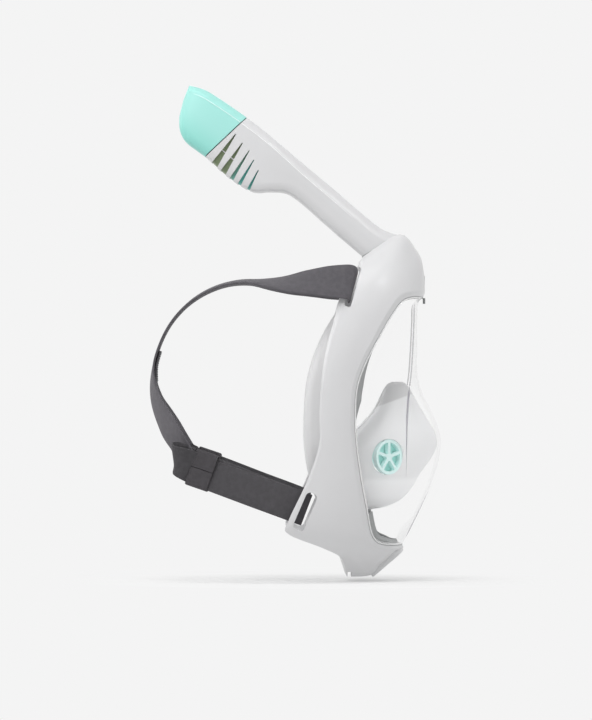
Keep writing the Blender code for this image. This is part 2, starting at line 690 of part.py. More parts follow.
def cut_louvre(tube, name, tip, back, front):
    """A wedge-shaped slot right across the tube: narrow at its tip, wide at its mouth."""
    top, rear, fore = (Vector((0, *point)) for point in (tip, back, front))
    slit = SNORKEL_AXIS * LOUVRE_HALF_SLIT
    # The mouth's corners go on past the tube's underside, so that the slot is open there.
    outline = [top + slit, top - slit, fore.lerp(top, -0.15), rear.lerp(top, -0.15)]
    work = bmesh.new()
    for x in (-40, 40):
        for p in outline:
            work.verts.new(p + X * x)
    work.verts.ensure_lookup_table()
    work.faces.new([work.verts[i] for i in range(4)])
    work.faces.new([work.verts[4 + i] for i in range(4)])
    for i in range(4):
        j = (i + 1) % 4
        work.faces.new([work.verts[i], work.verts[j], work.verts[4 + j], work.verts[4 + i]])
    slot = finish_mesh(name, work, None, CUTTERS)
    hide_cutter(slot)
    cut(tube, slot)


def make_snorkel(frame):
    lift = SEAM_GAP
    tube = tube_shell("snorkel_tube", smooth_stations(TUBE_STATIONS, 2), GREY_PLASTIC, False, lift)
    below = prism("below_seam", rounded_outline(90, 90, 5), -20, SEAM_GAP, None, seam_place(), CUTTERS,
                  cutter=True)
    cut(tube, below)
    for k, louvre in enumerate(LOUVRE_TIPS):
        cut_louvre(tube, f"louvre_{k}", *louvre)
    tube_shell("snorkel_cap", smooth_stations(CAP_STATIONS, 2), MINT_PLASTIC, True, lift)
    make_plug(frame, lift)


def seam_place(out=0.0):
    """At the middle of the seam: local Z leaves the housing, local X runs across the mask."""
    return basis(SEAM_MIDDLE + SEAM_NORMAL * out, X, SEAM_NORMAL)


def make_plug(frame, lift):
    """The snorkel's two-way plug, the socket's hole in the housing and the rubber gasket there."""
    outline = rounded_outline(PLUG_WIDTH, PLUG_DEPTH, 6)
    plug = prism("snorkel_plug", outline, -PLUG_LENGTH, lift - 0.1, GREY_PLASTIC, seam_place())
    inner = PLUG_DEPTH - 2 * PLUG_WALL
    duct = (PLUG_WIDTH - 4 * PLUG_WALL) / 3
    for k in (-1, 0, 1):
        shift = k * (duct + PLUG_WALL)
        hole = [(x + shift, y) for x, y in rounded_outline(duct, inner, 3)]
        cut(plug, prism(f"duct_{k + 1}", hole, -PLUG_LENGTH - 5, 8, None, seam_place(), CUTTERS,
                        cutter=True))
    hole = rounded_outline(PLUG_WIDTH + 2 * CLEARANCE, PLUG_DEPTH + 2 * CLEARANCE, 6.4)
    cut(frame, prism("socket_hole", hole, -12, 8, None, seam_place(), CUTTERS, cutter=True))
    reach = 2 * GASKET_WIDTH
    gasket_top = -FRAME_WALL - GASKET_GAP
    gasket = prism("socket_gasket", rounded_outline(PLUG_WIDTH + reach, PLUG_DEPTH + reach, 8),
                   gasket_top - GASKET_THICKNESS, gasket_top, GREY_RUBBER, seam_place())
    cut(gasket, prism("gasket_hole", hole, -12, 8, None, seam_place(), CUTTERS, cutter=True))


# ---------------------------------------------------------------- dry-top float valve in the head

SEAT_STATION = 7
SEAT_THICKNESS = 2.5
SEAT_HOLE = 8.0
LEVER_REACH = 24.0
SEAL_AT = 12.5


def head_place(out=0.0, up=0.0):
    """In the snorkel's head: local Z along the tube, local Y towards its underside."""
    low, high, _, _ = TUBE_STATIONS[SEAT_STATION]
    middle = (Vector((0, *low)) + Vector((0, *high))) / 2
    up_way = (Vector((0, *high)) - Vector((0, *low))).normalized()
    along = up_way.cross(X).normalized()
    if along.y < 0:
        along.negate()
    place = basis(middle + along * out + up_way * up + SEAM_NORMAL * SEAM_GAP, X, along)
    return place


def make_float_valve():
    low, high, half, bevel = TUBE_STATIONS[SEAT_STATION]
    depth = math.dist(low, high)
    width = 2 * (half - TUBE_WALL - 0.6)
    tall = depth - 2 * (TUBE_WALL + 1.2)
    place = head_place()
    outline = rounded_outline(width, tall, 7.5)
    seat = prism("float_valve_seat", outline, 0, SEAT_THICKNESS, GREY_PLASTIC, place)
    pin_out, pin_up = SEAT_THICKNESS + 3.8, 4.5 - tall / 2
    cut(seat, disc("seat_hole", SEAT_HOLE, -5, 9, None, head_place(up=pin_up + SEAL_AT),
                   collection=CUTTERS, cutter=True))
    pin = basis(head_place(pin_out, pin_up).translation / MM, Y, X)
    disc("float_pin", PIN_RADIUS, -width / 2 + 0.6, width / 2 - 0.6, STEEL, pin, count=20)
    place = (head_place(pin_out, pin_up) @ Matrix.Rotation(math.pi, 4, "Z")
             @ Matrix.Rotation(FLOAT_OPEN, 4, "X"))
    ring = PIN_RADIUS + 1.8
    lever_low = -1.6
    arm = prism("float_lever", [(-9, -ring), (9, -ring), (9, LEVER_REACH), (-9, LEVER_REACH)],
                lever_low, lever_low + 3.2, GREY_PLASTIC, place)
    hub = basis(place.translation / MM, Y, X)
    cut(arm, disc("lever_hub", ring, -9.2, 9.2, None, hub, 20, CUTTERS, True), "UNION")
    cut(arm, disc("lever_bore", PIN_RADIUS + 0.08, -20, 20, None, hub, 20, CUTTERS, True))
    seal_place = place @ Matrix.Translation(Vector((0, SEAL_AT, 0)) * MM)
    disc("float_seal", SEAT_HOLE + 1.6, lever_low - 0.3 - 1.6, lever_low - 0.3, GREY_RUBBER, seal_place)
    block = rounded_outline(24, 17, 5)
    prism("float_block", [(x, y + LEVER_REACH - 6.5) for x, y in block], lever_low + 3.5,
          lever_low + 3.5 + 11, FOAM, place)


# ---------------------------------------------------------------- release button

BUTTON_WIDTH, BUTTON_HEIGHT, BUTTON_DEPTH = 16.0, 9.0, 6.0
BUTTON_TRAVEL = 2.0
BUTTON_ABOVE_WINDOW = 12.0
BUTTON_CENTRE = shell_point(0, -81.4, 88) + Z * BUTTON_ABOVE_WINDOW
GUIDE_WALL = 1.6
GUIDE_GAP = 0.46
GUIDE_DEPTH = 14.0
SPRING_RADIUS = 2.6
SPRING_WIRE = 0.45
SPRING_TURNS = 3


def make_release_button(frame):
    """The catch that lets the snorkel go: a push button in the housing's front face."""
    place = basis(BUTTON_CENTRE, X, -Y)
    cut(frame, prism("button_hole", rounded_outline(BUTTON_WIDTH + 2 * CLEARANCE,
                                                    BUTTON_HEIGHT + 2 * CLEARANCE, 3), -9, 6, None,
                     place, CUTTERS, cutter=True))
    button = prism("release_button", rounded_outline(BUTTON_WIDTH, BUTTON_HEIGHT, 2.6),
                   -BUTTON_DEPTH, 0.2, GREY_PLASTIC, place)
    # The blind hole in the button's back goes over the spring's end as the button moves in.
    cut(button, disc("spring_pocket", SPRING_RADIUS + SPRING_WIRE + CLEARANCE, -BUTTON_DEPTH - 5,
                     -BUTTON_DEPTH + BUTTON_TRAVEL + CLEARANCE, None, place, 24, CUTTERS, True))


def housing_front(z):
    """Y of the housing's front face at this height, on the mask's centre line."""
    line = [shell_point(*point) for point in FRAME_STATIONS[0][1:4]]
    low, high = line[:2] if z < line[1].z else line[1:]
    return low.y + (high.y - low.y) * (z - low.z) / (high.z - low.z)


def make_button_guide():
    """The cup behind the button: it guides the button and is the seat of its spring."""
    place = basis(BUTTON_CENTRE, X, -Y)
    room = CLEARANCE + GUIDE_WALL
    # The housing leans back higher up, so the cup stays clear of it at the cup's top edge.
    leans_back = housing_front(BUTTON_CENTRE.z + BUTTON_HEIGHT / 2 + room) - BUTTON_CENTRE.y
    guide = prism("button_guide", rounded_outline(BUTTON_WIDTH + 2 * room, BUTTON_HEIGHT + 2 * room,
                                                  4), -GUIDE_DEPTH, -FRAME_WALL - GUIDE_GAP
                  - leans_back, GREY_PLASTIC, place)
    cut(guide, prism("guide_room", rounded_outline(BUTTON_WIDTH + 2 * CLEARANCE, BUTTON_HEIGHT + 2
                                                   * CLEARANCE, 3), -GUIDE_DEPTH + GUIDE_WALL, 0,
                     None, place, CUTTERS, cutter=True))
    low = -GUIDE_DEPTH + GUIDE_WALL + CLEARANCE + SPRING_WIRE
    high = -BUTTON_DEPTH - CLEARANCE - SPRING_WIRE
    data = bpy.data.curves.new("button_spring", "CURVE")
    data.dimensions = "3D"
    data.bevel_depth = SPRING_WIRE * MM
    data.bevel_resolution = 1
    data.use_fill_caps = True
    spline = data.splines.new("POLY")
    count = 10 * SPRING_TURNS + 1
    spline.points.add(count - 1)
    for i, point in enumerate(spline.points):
        turn = 2 * math.pi * i / 10
        point.co = (SPRING_RADIUS * MM * math.cos(turn), SPRING_RADIUS * MM * math.sin(turn),
                    (low + (high - low) * i / (count - 1)) * MM, 1)
    spring = bpy.data.objects.new("button_spring", data)
    PARTS.objects.link(spring)
    spring.matrix_world = place
    data.materials.append(STEEL)


# ---------------------------------------------------------------- visor clip, snorkel divider

CLIP_WIDTH, CLIP_DEPTH, CLIP_HEIGHT = 22.0, 1.5, 4.4


def make_visor_clip():
    """The latch under the housing's lip that holds the visor's top edge."""
    face = shell_point(0, -80.4, 85.0)
    place = basis(face, X, -Y)
    prism("visor_clip", rounded_outline(CLIP_WIDTH, CLIP_HEIGHT, 1.5, 2), 0, CLIP_DEPTH, GREY_RUBBER,
          place)


DIVIDER_THICKNESS = 1.6


def make_divider():
    """The wall inside the tube between the way in and the way out for air."""
    rows = []
    for low, high, _, _ in TUBE_STATIONS[1:SEAT_STATION]:
        lower, upper = Vector((0, *low)), Vector((0, *high))
        up = (upper - lower).normalized()
        inset = TUBE_WALL + 1.0
        a, b = lower + up * inset, upper - up * inset
        side = X * (DIVIDER_THICKNESS / 2)
        rows.append([p + SEAM_NORMAL * SEAM_GAP for p in (a - side, a + side, b + side, b - side)])
    work = grid_mesh(rows, wrap_columns=True)
    close_ends(work, 4)
    finish_mesh("snorkel_divider", work, GREY_PLASTIC)


# ---------------------------------------------------------------- straps

# The right strap from the upper slot, round the bar behind it and over the back of the head to
# the fold: a point on its centre line, the way it faces, and its width over STRAP_WIDTH.
STRAP_ROUTE = [
    ((-61.0, -25.2, 95.0), (0.0, -0.963, -0.27), 1.16), ((-66.4, -24.6, 97.9), (-0.5, -0.8, 0.1), 1.2),
    ((-69.2, -17.5, 99.2), (-0.86, 0.0, 0.50), 1.22), ((-71.0, -6.0, 99.2), (-0.83, 0.05, 0.53), 1.14),
    ((-72.0, 8.0, 98.8), (-0.74, 0.1, 0.66), 1.03), ((-71.5, 20.0, 98.3), (-0.58, 0.1, 0.80), 1.0),
    ((-67.5, 34.0, 98.5), (-0.33, 0.1, 0.94), 1.0), ((-60.5, 50.0, 99.7), (-0.06, 0.12, 1.0), 1.0),
    ((-51.0, 68.0, 98.7), (0, 0.30, 0.95), 1.0), ((-40.0, 86.0, 93.0), (0, 0.50, 0.86), 1.0),
    ((-29.5, 102.0, 83.0), (0, 0.68, 0.73), 1.0), ((-20.5, 115.0, 69.0), (0, 0.83, 0.56), 1.0),
    ((-15.0, 124.3, 52.0), (0, 0.94, 0.34), 1.0), ((-14.0, 129.6, 34.0), (-0.03, 0.99, 0.12), 1.0),
    ((-17.5, 129.8, 17.0), (-0.20, 0.97, -0.08), 1.0), ((-27.0, 125.8, 2.5), (-0.44, 0.87, -0.2), 1.0),
    ((-42.0, 119.2, -10.0), (-0.70, 0.68, -0.2), 1.0), ((-57.5, 111.8, -21.5), (-0.9, 0.42, -0.1), 1.0),
    ((-68.0, 104.4, -31.0), (-1.0, 0.20, 0.0), 1.0),
]
# The right lower strap, from inside the fold to the inner side of the slot in the cheek flange.
LOWER_ROUTE = [
    ((-63.6, 106.5, -40.2), (-0.97, -0.22, 0.0)), ((-67.0, 92.0, -45.6), (-0.97, -0.22, 0.0)),
    ((-72.0, 70.0, -53.7), (-0.97, -0.22, 0.0)), ((-77.0, 48.0, -61.9), (-0.97, -0.22, 0.0)),
    ((-80.6, 27.0, -69.7), (-0.98, -0.16, 0.0)), ((-80.0, 7.5, -77.0), (-1.0, 0.05, 0.0)),
]
# At the back of the head the two straps lie side by side with this much between them.
STRAPS_APART = 3.0
BACK_POINT = 13
STRAP_SHIFT = STRAP_WIDTH / 2 + STRAPS_APART / 2 + STRAP_ROUTE[BACK_POINT][0][0] * MASK_WIDTH / BASE_WIDTH


def strap_point(x, y, z):
    """A point of the head strap, moved out towards the back as far as the strap's width asks."""
    p = shell_point(x, y, z)
    p.x -= STRAP_SHIFT * min(1, max(0, (60 + x) / 30))
    return p


def lower_point(x, y, z):
    """A point of the lower strap, lifted with the slot towards its front end."""
    return shell_point(x, y, z) + Z * LOWER_LIFT * min(1, max(0, (106.5 - y) / 90))


STRAP_ROUTE = [(strap_point(*point), *rest) for point, *rest in STRAP_ROUTE]
LOWER_ROUTE = [(lower_point(*point), facing) for point, facing in LOWER_ROUTE]
KEEPER_AT = 0.06
KEEPER_LENGTH, KEEPER_WALL, KEEPER_ROOM = 18.0, 1.1, 0.9
PATCH_WIDTH = 2 * STRAP_WIDTH - 6.0
PATCH_THICKNESS, PATCH_BEHIND = 1.4, 4.2


def ribbon(name, route, width_of, thickness, look, steps=2):
    """A flat strap along the route: points, facing directions and widths are all smoothed."""
    points = smooth_line([Vector(p[0]) for p in route], steps)
    faces = smooth_line([Vector(p[1]) for p in route], steps)
    widths = smooth_line([Vector((width_of(p), 0, 0)) for p in route], steps)
    rows = []
    for i, p in enumerate(points):
        along = (points[min(i + 1, len(points) - 1)] - points[max(i - 1, 0)]).normalized()
        facing = (faces[i] - along * faces[i].dot(along)).normalized()
        across = along.cross(facing).normalized() * (widths[i].x / 2)
        facing *= thickness / 2
        rows.append([p - across - facing, p + across - facing, p + across + facing,
                     p - across + facing])
    work = grid_mesh(rows, wrap_columns=True)
    close_ends(work, 4)
    return finish_mesh(name, work, look)


def mirrored_route(route):
    return [(mirror_point(Vector(p[0])), mirror_point(Vector(p[1])), *p[2:]) for p in route]


def make_straps():
    for word, turn in (("right", list), ("left", mirrored_route)):
        ribbon("head_strap_" + word, turn(STRAP_ROUTE), lambda p: STRAP_WIDTH * p[2],
               STRAP_THICKNESS, DARK_WEBBING)
        ribbon("lower_strap_" + word, turn(LOWER_ROUTE), lambda p: STRAP_WIDTH,
               2 * STRAP_THICKNESS, DARK_WEBBING)
        make_keeper(word, turn(LOWER_ROUTE))
    make_back_patch()


def make_back_patch():
    """The patch on the head's side of the two straps, which sews them together at the back."""
    route = []
    for point, facing, _ in STRAP_ROUTE[BACK_POINT - 1:BACK_POINT + 2]:
        facing = Vector((0, facing[1], facing[2])).normalized()
        route.append((Vector((0, *point[1:])) - facing * PATCH_BEHIND, facing))
    middle = route[1]
    route = [(end[0].lerp(middle[0], 0.25), end[1].lerp(middle[1], 0.25)) if end is not middle
             else middle for end in route]
    ribbon("strap_back_patch", route, lambda p: PATCH_WIDTH, PATCH_THICKNESS, DARK_WEBBING)


def make_keeper(word, route):
    """The sleeve round the doubled lower strap, which slides along it."""
    start, ahead = Vector(route[1][0]), Vector(route[2][0])
    along = (ahead - start).normalized()
    centre = start.lerp(ahead, KEEPER_AT)
    facing = Vector(route[1][1])
    facing = (facing - along * facing.dot(along)).normalized()
    place = basis(centre, facing, along)
    thick = 2 * STRAP_THICKNESS + 2 * KEEPER_ROOM
    wide = STRAP_WIDTH + 2 * KEEPER_ROOM
    sleeve = prism("strap_keeper_" + word, rounded_outline(thick + 2 * KEEPER_WALL, wide + 2
                                                          * KEEPER_WALL, 1.6, 2),
                   -KEEPER_LENGTH / 2, KEEPER_LENGTH / 2, DARK_WEBBING, place)
    room = prism("keeper_room_" + word, rounded_outline(thick, wide, 0.5, 1), -KEEPER_LENGTH,
                 KEEPER_LENGTH, None, place, CUTTERS, cutter=True)
    cut(sleeve, room)


def build():
    frame = make_frame()
    make_clamp_ring()
    make_skirt()
    make_lens()
    make_visor_seal()
    pocket = make_pocket()
    make_inlet_valves(pocket)
    make_chin_valve(frame)
    cut_strap_slots(frame)
    make_snorkel(frame)
    make_float_valve()
    make_release_button(frame)
    make_button_guide()
    make_visor_clip()
    make_divider()
    make_straps()


build()
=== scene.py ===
"""Looks for a full-face snorkel mask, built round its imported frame.

The front of the mask faces -Y, up is +Z and the wearer's right is -X. Lengths are given in
millimetres and turned into metres by MM. Half a shape is drawn and mirrored at X = 0.
"""
import math

import bmesh
import bpy
from mathutils import Matrix, Vector


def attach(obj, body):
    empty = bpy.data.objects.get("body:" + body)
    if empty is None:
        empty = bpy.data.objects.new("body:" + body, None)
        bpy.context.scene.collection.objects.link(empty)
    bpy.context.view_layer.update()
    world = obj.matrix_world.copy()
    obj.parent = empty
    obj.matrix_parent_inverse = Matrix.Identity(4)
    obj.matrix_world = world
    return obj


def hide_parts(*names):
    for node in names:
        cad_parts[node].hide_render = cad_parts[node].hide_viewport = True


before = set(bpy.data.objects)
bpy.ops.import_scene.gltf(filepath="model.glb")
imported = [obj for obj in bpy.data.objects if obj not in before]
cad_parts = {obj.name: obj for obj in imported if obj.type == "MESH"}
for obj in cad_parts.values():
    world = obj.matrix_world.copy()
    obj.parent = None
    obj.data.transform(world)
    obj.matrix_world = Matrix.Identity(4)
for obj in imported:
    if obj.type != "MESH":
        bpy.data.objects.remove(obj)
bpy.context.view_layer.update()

MM = 0.001
X, Y, Z = Vector((1, 0, 0)), Vector((0, 1, 0)), Vector((0, 0, 1))


# ---------------- materials

class Look:
    """A node material with its Principled shader and short ways to wire it."""

    def __init__(self, name, **sockets):
        self.material = bpy.data.materials.new(name)
        self.material.use_nodes = True
        self.tree = self.material.node_tree
        self.shader = self.tree.nodes["Principled BSDF"]
        for socket, value in sockets.items():
            self.shader.inputs[socket.replace("_", " ")].default_value = value
        self.place = self.tree.nodes.new("ShaderNodeTexCoord").outputs["Object"]

    def node(self, kind, inputs=(), **settings):
        made = self.tree.nodes.new("ShaderNode" + kind)
        for key, value in settings.items():
            setattr(made, key, value)
        for key, value in dict(inputs).items():
            if isinstance(value, bpy.types.NodeSocket):
                self.tree.links.new(value, made.inputs[key])
            else:
                made.inputs[key].default_value = value
        return made

    def noise(self, scale, detail=3.0, stretch=(1, 1, 1)):
        spread = self.node("Mapping", {"Vector": self.place, "Scale": stretch})
        return self.node("TexNoise", {"Vector": spread.outputs[0], "Scale": scale,
                                      "Detail": detail}).outputs["Fac"]

    def remap(self, value, low, high):
        """Noise, which mostly lies between 0.3 and 0.7, spread from low to high."""
        return self.node("MapRange", {"Value": value, "From Min": 0.3, "From Max": 0.7,
                                      "To Min": low, "To Max": high}).outputs["Result"]

    def ramp(self, value, *stops):
        """A colour by value, from stops of a place and a colour."""
        made = self.node("ValToRGB", {"Fac": value})
        for k, (at, colour) in enumerate(stops):
            stop = made.color_ramp.elements[k] if k < 2 else made.color_ramp.elements.new(at)
            stop.position = at
            stop.color = (*colour, 1)
        return made.outputs["Color"]

    def math(self, operation, a, b):
        return self.node("Math", {0: a, 1: b}, operation=operation).outputs[0]

    def bump(self, height, distance_mm, strength):
        inputs = {"Height": height, "Distance": distance_mm * MM, "Strength": strength}
        return self.node("Bump", inputs).outputs["Normal"]

    def dot(self, direction):
        """How far a point lies along a direction, in metres."""
        far = self.node("VectorMath", {0: self.place, 1: direction}, operation="DOT_PRODUCT")
        return far.outputs["Value"]

    def step(self, value, start, end, low=0.0, high=1.0):
        """A soft step from low to high between two values."""
        return self.node("MapRange", {"Value": value, "From Min": start, "From Max": end,
                                      "To Min": low, "To Max": high},
                         interpolation_type="SMOOTHSTEP").outputs["Result"]

    def wire(self, socket, value):
        self.tree.links.new(value, self.shader.inputs[socket])

    def surface(self, colour, roughness, normal):
        """Wires the shader's main sockets and gives the material."""
        self.wire("Base Color", colour)
        self.wire("Roughness", roughness)
        self.wire("Normal", normal)
        return self.material


def tinted(look, colour, spread, scale):
    """A base colour that drifts by a small share over the surface."""
    low = [c * (1 - spread) for c in colour]
    high = [min(c * (1 + spread), 1.0) for c in colour]
    return look.ramp(look.noise(scale), (0.3, low), (0.7, high))


PLASTIC_GRAIN = 0.35


def plastic(name, colour, roughness, coat=0.0):
    """Moulded plastic: a very fine spark-eroded grain and slightly uneven gloss."""
    look = Look(name, Coat_Weight=coat, Coat_Roughness=0.12, IOR=1.48)
    return look.surface(tinted(look, colour, 0.012, 24),
                        look.remap(look.noise(70), roughness - 0.03, roughness + 0.04),
                        look.bump(look.noise(1 / (PLASTIC_GRAIN * MM), 2), 0.012, 0.6))


SILICONE_IOR = 1.41
SILICONE_SCATTER = (1.0, 0.98, 0.95)


def silicone(name, colour, roughness, transmission, scatter):
    """Soft milky rubber that lets a little light through."""
    look = Look(name, Transmission_Weight=transmission, IOR=SILICONE_IOR, Subsurface_Weight=scatter,
                Subsurface_Scale=0.004, Subsurface_Radius=SILICONE_SCATTER)
    return look.surface(tinted(look, colour, 0.02, 18),
                        look.remap(look.noise(60), roughness - 0.04, roughness + 0.05),
                        look.bump(look.noise(900, 2), 0.02, 0.5))


def frosted(name):
    """Fine-grained matt silicone, greyer in the nose dome and above the chin fold: painted shade.
    """
    look = Look(name, IOR=SILICONE_IOR, Subsurface_Weight=0.35, Subsurface_Scale=0.006,
                Subsurface_Radius=SILICONE_SCATTER)
    # Painted shade: the nose dome is made darker, for its dark inside seen through the silicone.
    dome = look.step(look.dot((0, 0.355, 1)), -0.0138, -0.0118)
    # Painted shadow: the silicone above the chin fold is made darker, lighter below it.
    fold = look.step(look.dot(Z), -0.056, -0.0505)
    shade = look.math("ADD", look.math("MULTIPLY", dome, -0.5), look.math("MULTIPLY", fold, -0.22))
    shade = look.math("ADD", shade, look.math("MULTIPLY", look.noise(18), 0.1))
    shade = look.math("ADD", shade, 0.8)
    return look.surface(look.ramp(shade, (0.0, (0.60, 0.60, 0.605)), (0.9, (0.97, 0.975, 0.985))),
                        look.remap(look.noise(60), 0.42, 0.5),
                        look.bump(look.noise(900, 2), 0.02, 0.5))


def rubber(name, colour, roughness=0.6):
    """Matt rubber, foam or thread."""
    look = Look(name, IOR=1.5)
    return look.surface(tinted(look, colour, 0.08, 60),
                        look.remap(look.noise(90), roughness - 0.06, roughness + 0.06),
                        look.bump(look.noise(1500, 2), 0.02, 0.6))


# The width in millimetres of a wave texture's band at scale 1, on a UV map in centimetres.
WAVE_BAND = 3.1


def webbing(name, colour, across_mm=0.8, along_mm=0.7):
    """Knitted elastic: fine ribs along the length crossed by picks, with a soft uneven fuzz."""
    look = Look(name, Sheen_Weight=0.12, Sheen_Roughness=0.45, IOR=1.35)
    look.shader.inputs["Sheen Tint"].default_value = (0.8, 0.78, 0.8, 1)
    uv = look.tree.nodes.new("ShaderNodeUVMap").outputs["UV"]
    # The UV map is in centimetres: U across the strap, V along it.
    ribs = look.node("TexWave", {"Vector": uv, "Scale": WAVE_BAND / across_mm, "Distortion": 0.5,
                                 "Detail": 1.0, "Detail Scale": 6.0}, bands_direction="X")
    picks = look.node("TexWave", {"Vector": uv, "Scale": WAVE_BAND / along_mm, "Distortion": 0.7,
                                  "Detail": 1.0, "Detail Scale": 6.0}, bands_direction="Y")
    weave = look.math("MULTIPLY", ribs.outputs["Fac"], picks.outputs["Fac"])
    hair = look.noise(1800, 4)
    mottle = look.noise(260, 5)
    height = look.math("ADD", look.math("MULTIPLY", weave, 0.8), look.math("MULTIPLY", hair, 0.4))
    dark = [c * 0.84 for c in colour]
    pale = [min(c * 1.18, 1) for c in colour]
    shade = look.math("ADD", look.math("MULTIPLY", weave, 0.35),
                      look.math("MULTIPLY", mottle, 0.75))
    return look.surface(look.ramp(shade, (0.3, dark), (0.7, pale)),
                        look.remap(mottle, 0.84, 0.95),
                        look.bump(height, 0.12, 0.8))


def two_tone_and_painted_light(name, first, second, along, start, end):
    """Plastic going from one colour to another along a direction, in metres; on the cap it is
    painted light.
    """
    look = Look(name, IOR=1.48)
    mixed = look.math("ADD", look.step(look.dot(along), start, end),
                      look.math("MULTIPLY", look.noise(60), 0.06))
    return look.surface(look.ramp(mixed, (0.0, first), (1.0, second)),
                        look.remap(look.noise(70), 0.45, 0.55),
                        look.bump(look.noise(900, 2), 0.02, 0.5))


def clear(name, colour, face_on, grazing, roughness=0.04):
    """Thin clear polycarbonate: it hides little face on and more where the view grazes it, as
    painted reflection.
    """
    look = Look(name, IOR=1.5, Coat_Weight=0.3, Coat_Roughness=0.03)
    facing = look.node("LayerWeight", {"Blend": 0.5}).outputs["Facing"]
    # Painted reflection: where the view grazes the surface its own colour shows instead of the
    # clear lens.
    hidden = look.node("MapRange", {"Value": facing, "From Min": 0.62, "From Max": 1.0,
                                    "To Min": face_on, "To Max": grazing})
    look.wire("Alpha", hidden.outputs["Result"])
    return look.surface(tinted(look, colour, 0.01, 14),
                        look.remap(look.noise(30), roughness, roughness + 0.04),
                        look.bump(look.noise(16, 1), 0.03, 0.15))


def metal(name, colour, roughness):
    """Drawn metal with fine lines along it."""
    look = Look(name, Metallic=1.0)
    return look.surface(tinted(look, colour, 0.04, 80),
                        look.remap(look.noise(300), roughness - 0.05, roughness + 0.08),
                        look.bump(look.noise(900, 2, (1, 1, 8)), 0.01, 0.5))


GREY = plastic("grey_plastic", (0.63, 0.63, 0.638), 0.40, coat=0.12)
GREY_DARK = plastic("grey_plastic_inner", (0.30, 0.31, 0.31), 0.5)
# Painted light: the cap is made lighter towards its top bevel and darker, more saturated below.
MINT = two_tone_and_painted_light("mint_plastic", (0.24, 0.63, 0.56), (0.345, 0.71, 0.655), (0, -0.643, 0.766),
                0.090, 0.118)
MINT_VALVE = plastic("mint_valve", (0.74, 0.95, 0.93), 0.5)
MINT_FLAP = plastic("mint_flap", (0.50, 0.88, 0.82), 0.55)
LINER = two_tone_and_painted_light("casing_plastic", (0.10, 0.42, 0.37), (0.17, 0.22, 0.12),
                 (0, 0.766, 0.643), 0.164, 0.176)
LENS = clear("clear_lens", (0.95, 0.955, 0.955), 0.012, 0.5)
# The rim and bead cords along the visor's edge: more opaque and so whiter, painted highlights.
LENS_EDGE_HIGHLIGHT = clear("clear_lens_edge_highlight", (0.95, 0.95, 0.95), 0.55, 0.85, 0.12)
# Grey cords along the visor's fold and the foot of its middle: painted shade for the dark lines
# there.
LENS_FOLD_SHADE = clear("clear_lens_fold_shade", (0.40, 0.40, 0.42), 0.35, 0.45, 0.1)
LENS_FOLD_SHADE_LOW = clear("clear_lens_fold_shade_low", (0.36, 0.35, 0.40), 0.55, 0.7, 0.1)
SILICONE = silicone("white_silicone", (0.70, 0.70, 0.705), 0.42, 0.10, 0.25)
POCKET = frosted("frosted_silicone")
RUBBER = rubber("grey_rubber", (0.24, 0.25, 0.25))
# Dark rubber: the visor's seal and groove, and also the painted-shade strips inside the window's
# edge.
GASKET_AND_SHADE = rubber("visor_gasket_and_painted_shade", (0.34, 0.35, 0.35), 0.5)
STRAP = webbing("dark_webbing", (0.102, 0.097, 0.107))
# The lower straps: the same webbing as the head strap, made darker as painted shade low on the
# mask.
STRAP_SHADED = webbing("dark_webbing_shaded", (0.068, 0.065, 0.070))
KEEPER = webbing("keeper_webbing", (0.062, 0.058, 0.063), 0.6, 0.6)
THREAD = rubber("sewing_thread", (0.035, 0.034, 0.038), 0.8)
# Paler, glossier copies of the grey and the mint for the crease cords: painted highlights.
CREASE_HIGHLIGHT = plastic("grey_plastic_crease_highlight", (0.86, 0.86, 0.87), 0.25, coat=0.4)
CREASE_HIGHLIGHT_MINT = plastic("mint_plastic_crease_highlight", (0.62, 0.88, 0.85), 0.25, coat=0.4)
STEEL = metal("steel", (0.62, 0.62, 0.64), 0.28)
FOAM = rubber("foam", (0.74, 0.75, 0.76), 0.8)


# ---------------- mesh helpers

def smooth_line(points, steps):
    """Points along a Catmull-Rom curve through the given ones, which it keeps."""
    line = []
    for i in range(len(points) - 1):
        p1, p2 = points[i], points[i + 1]
        p0 = points[i - 1] if i else p1
        p3 = points[i + 2] if i + 2 < len(points) else p2
        for k in range(steps):
            t = k / steps
            line.append(0.5 * (2 * p1 + (p2 - p0) * t + (2 * p0 - 5 * p1 + 4 * p2 - p3) * t * t
                               + (3 * p1 - p0 - 3 * p2 + p3) * t ** 3))
    return line + [points[-1].copy()]


def rows_of(columns):
    """Columns of points turned into rows, or rows into columns."""
    return [list(row) for row in zip(*columns)]


def mirror_point(p):
    return Vector((-p.x, p.y, p.z))


def grid_mesh(rows, wrap_rows=False, wrap_columns=False):
    """A surface of quads through rows of points, closed round either way if asked."""
    work = bmesh.new()
    verts = [[work.verts.new(p) for p in row] for row in rows]
    count, width = len(rows), len(rows[0])
    for i in range(count if wrap_rows else count - 1):
        for j in range(width if wrap_columns else width - 1):
            a, b = verts[i][j], verts[i][(j + 1) % width]
            c, d = verts[(i + 1) % count][(j + 1) % width], verts[(i + 1) % count][j]
            work.faces.new((a, b, c, d))
    return work


def new_piece(name, work, look, body, sharp=40, outward=True):
    """A bmesh in millimetres made a piece in metres that rides on a body."""
    bmesh.ops.remove_doubles(work, verts=work.verts, dist=1e-4)
    if outward:
        bmesh.ops.recalc_face_normals(work, faces=work.faces)
    bmesh.ops.scale(work, vec=(MM, MM, MM), verts=work.verts)
    mesh = bpy.data.meshes.new(name)
    work.to_mesh(mesh)
    work.free()
    mesh.materials.append(look)
    mesh.shade_smooth()
    if sharp:
        mesh.set_sharp_from_angle(angle=math.radians(sharp))
    made = bpy.data.objects.new(name, mesh)
    bpy.context.scene.collection.objects.link(made)
    if body:
        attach(made, body)
    return made


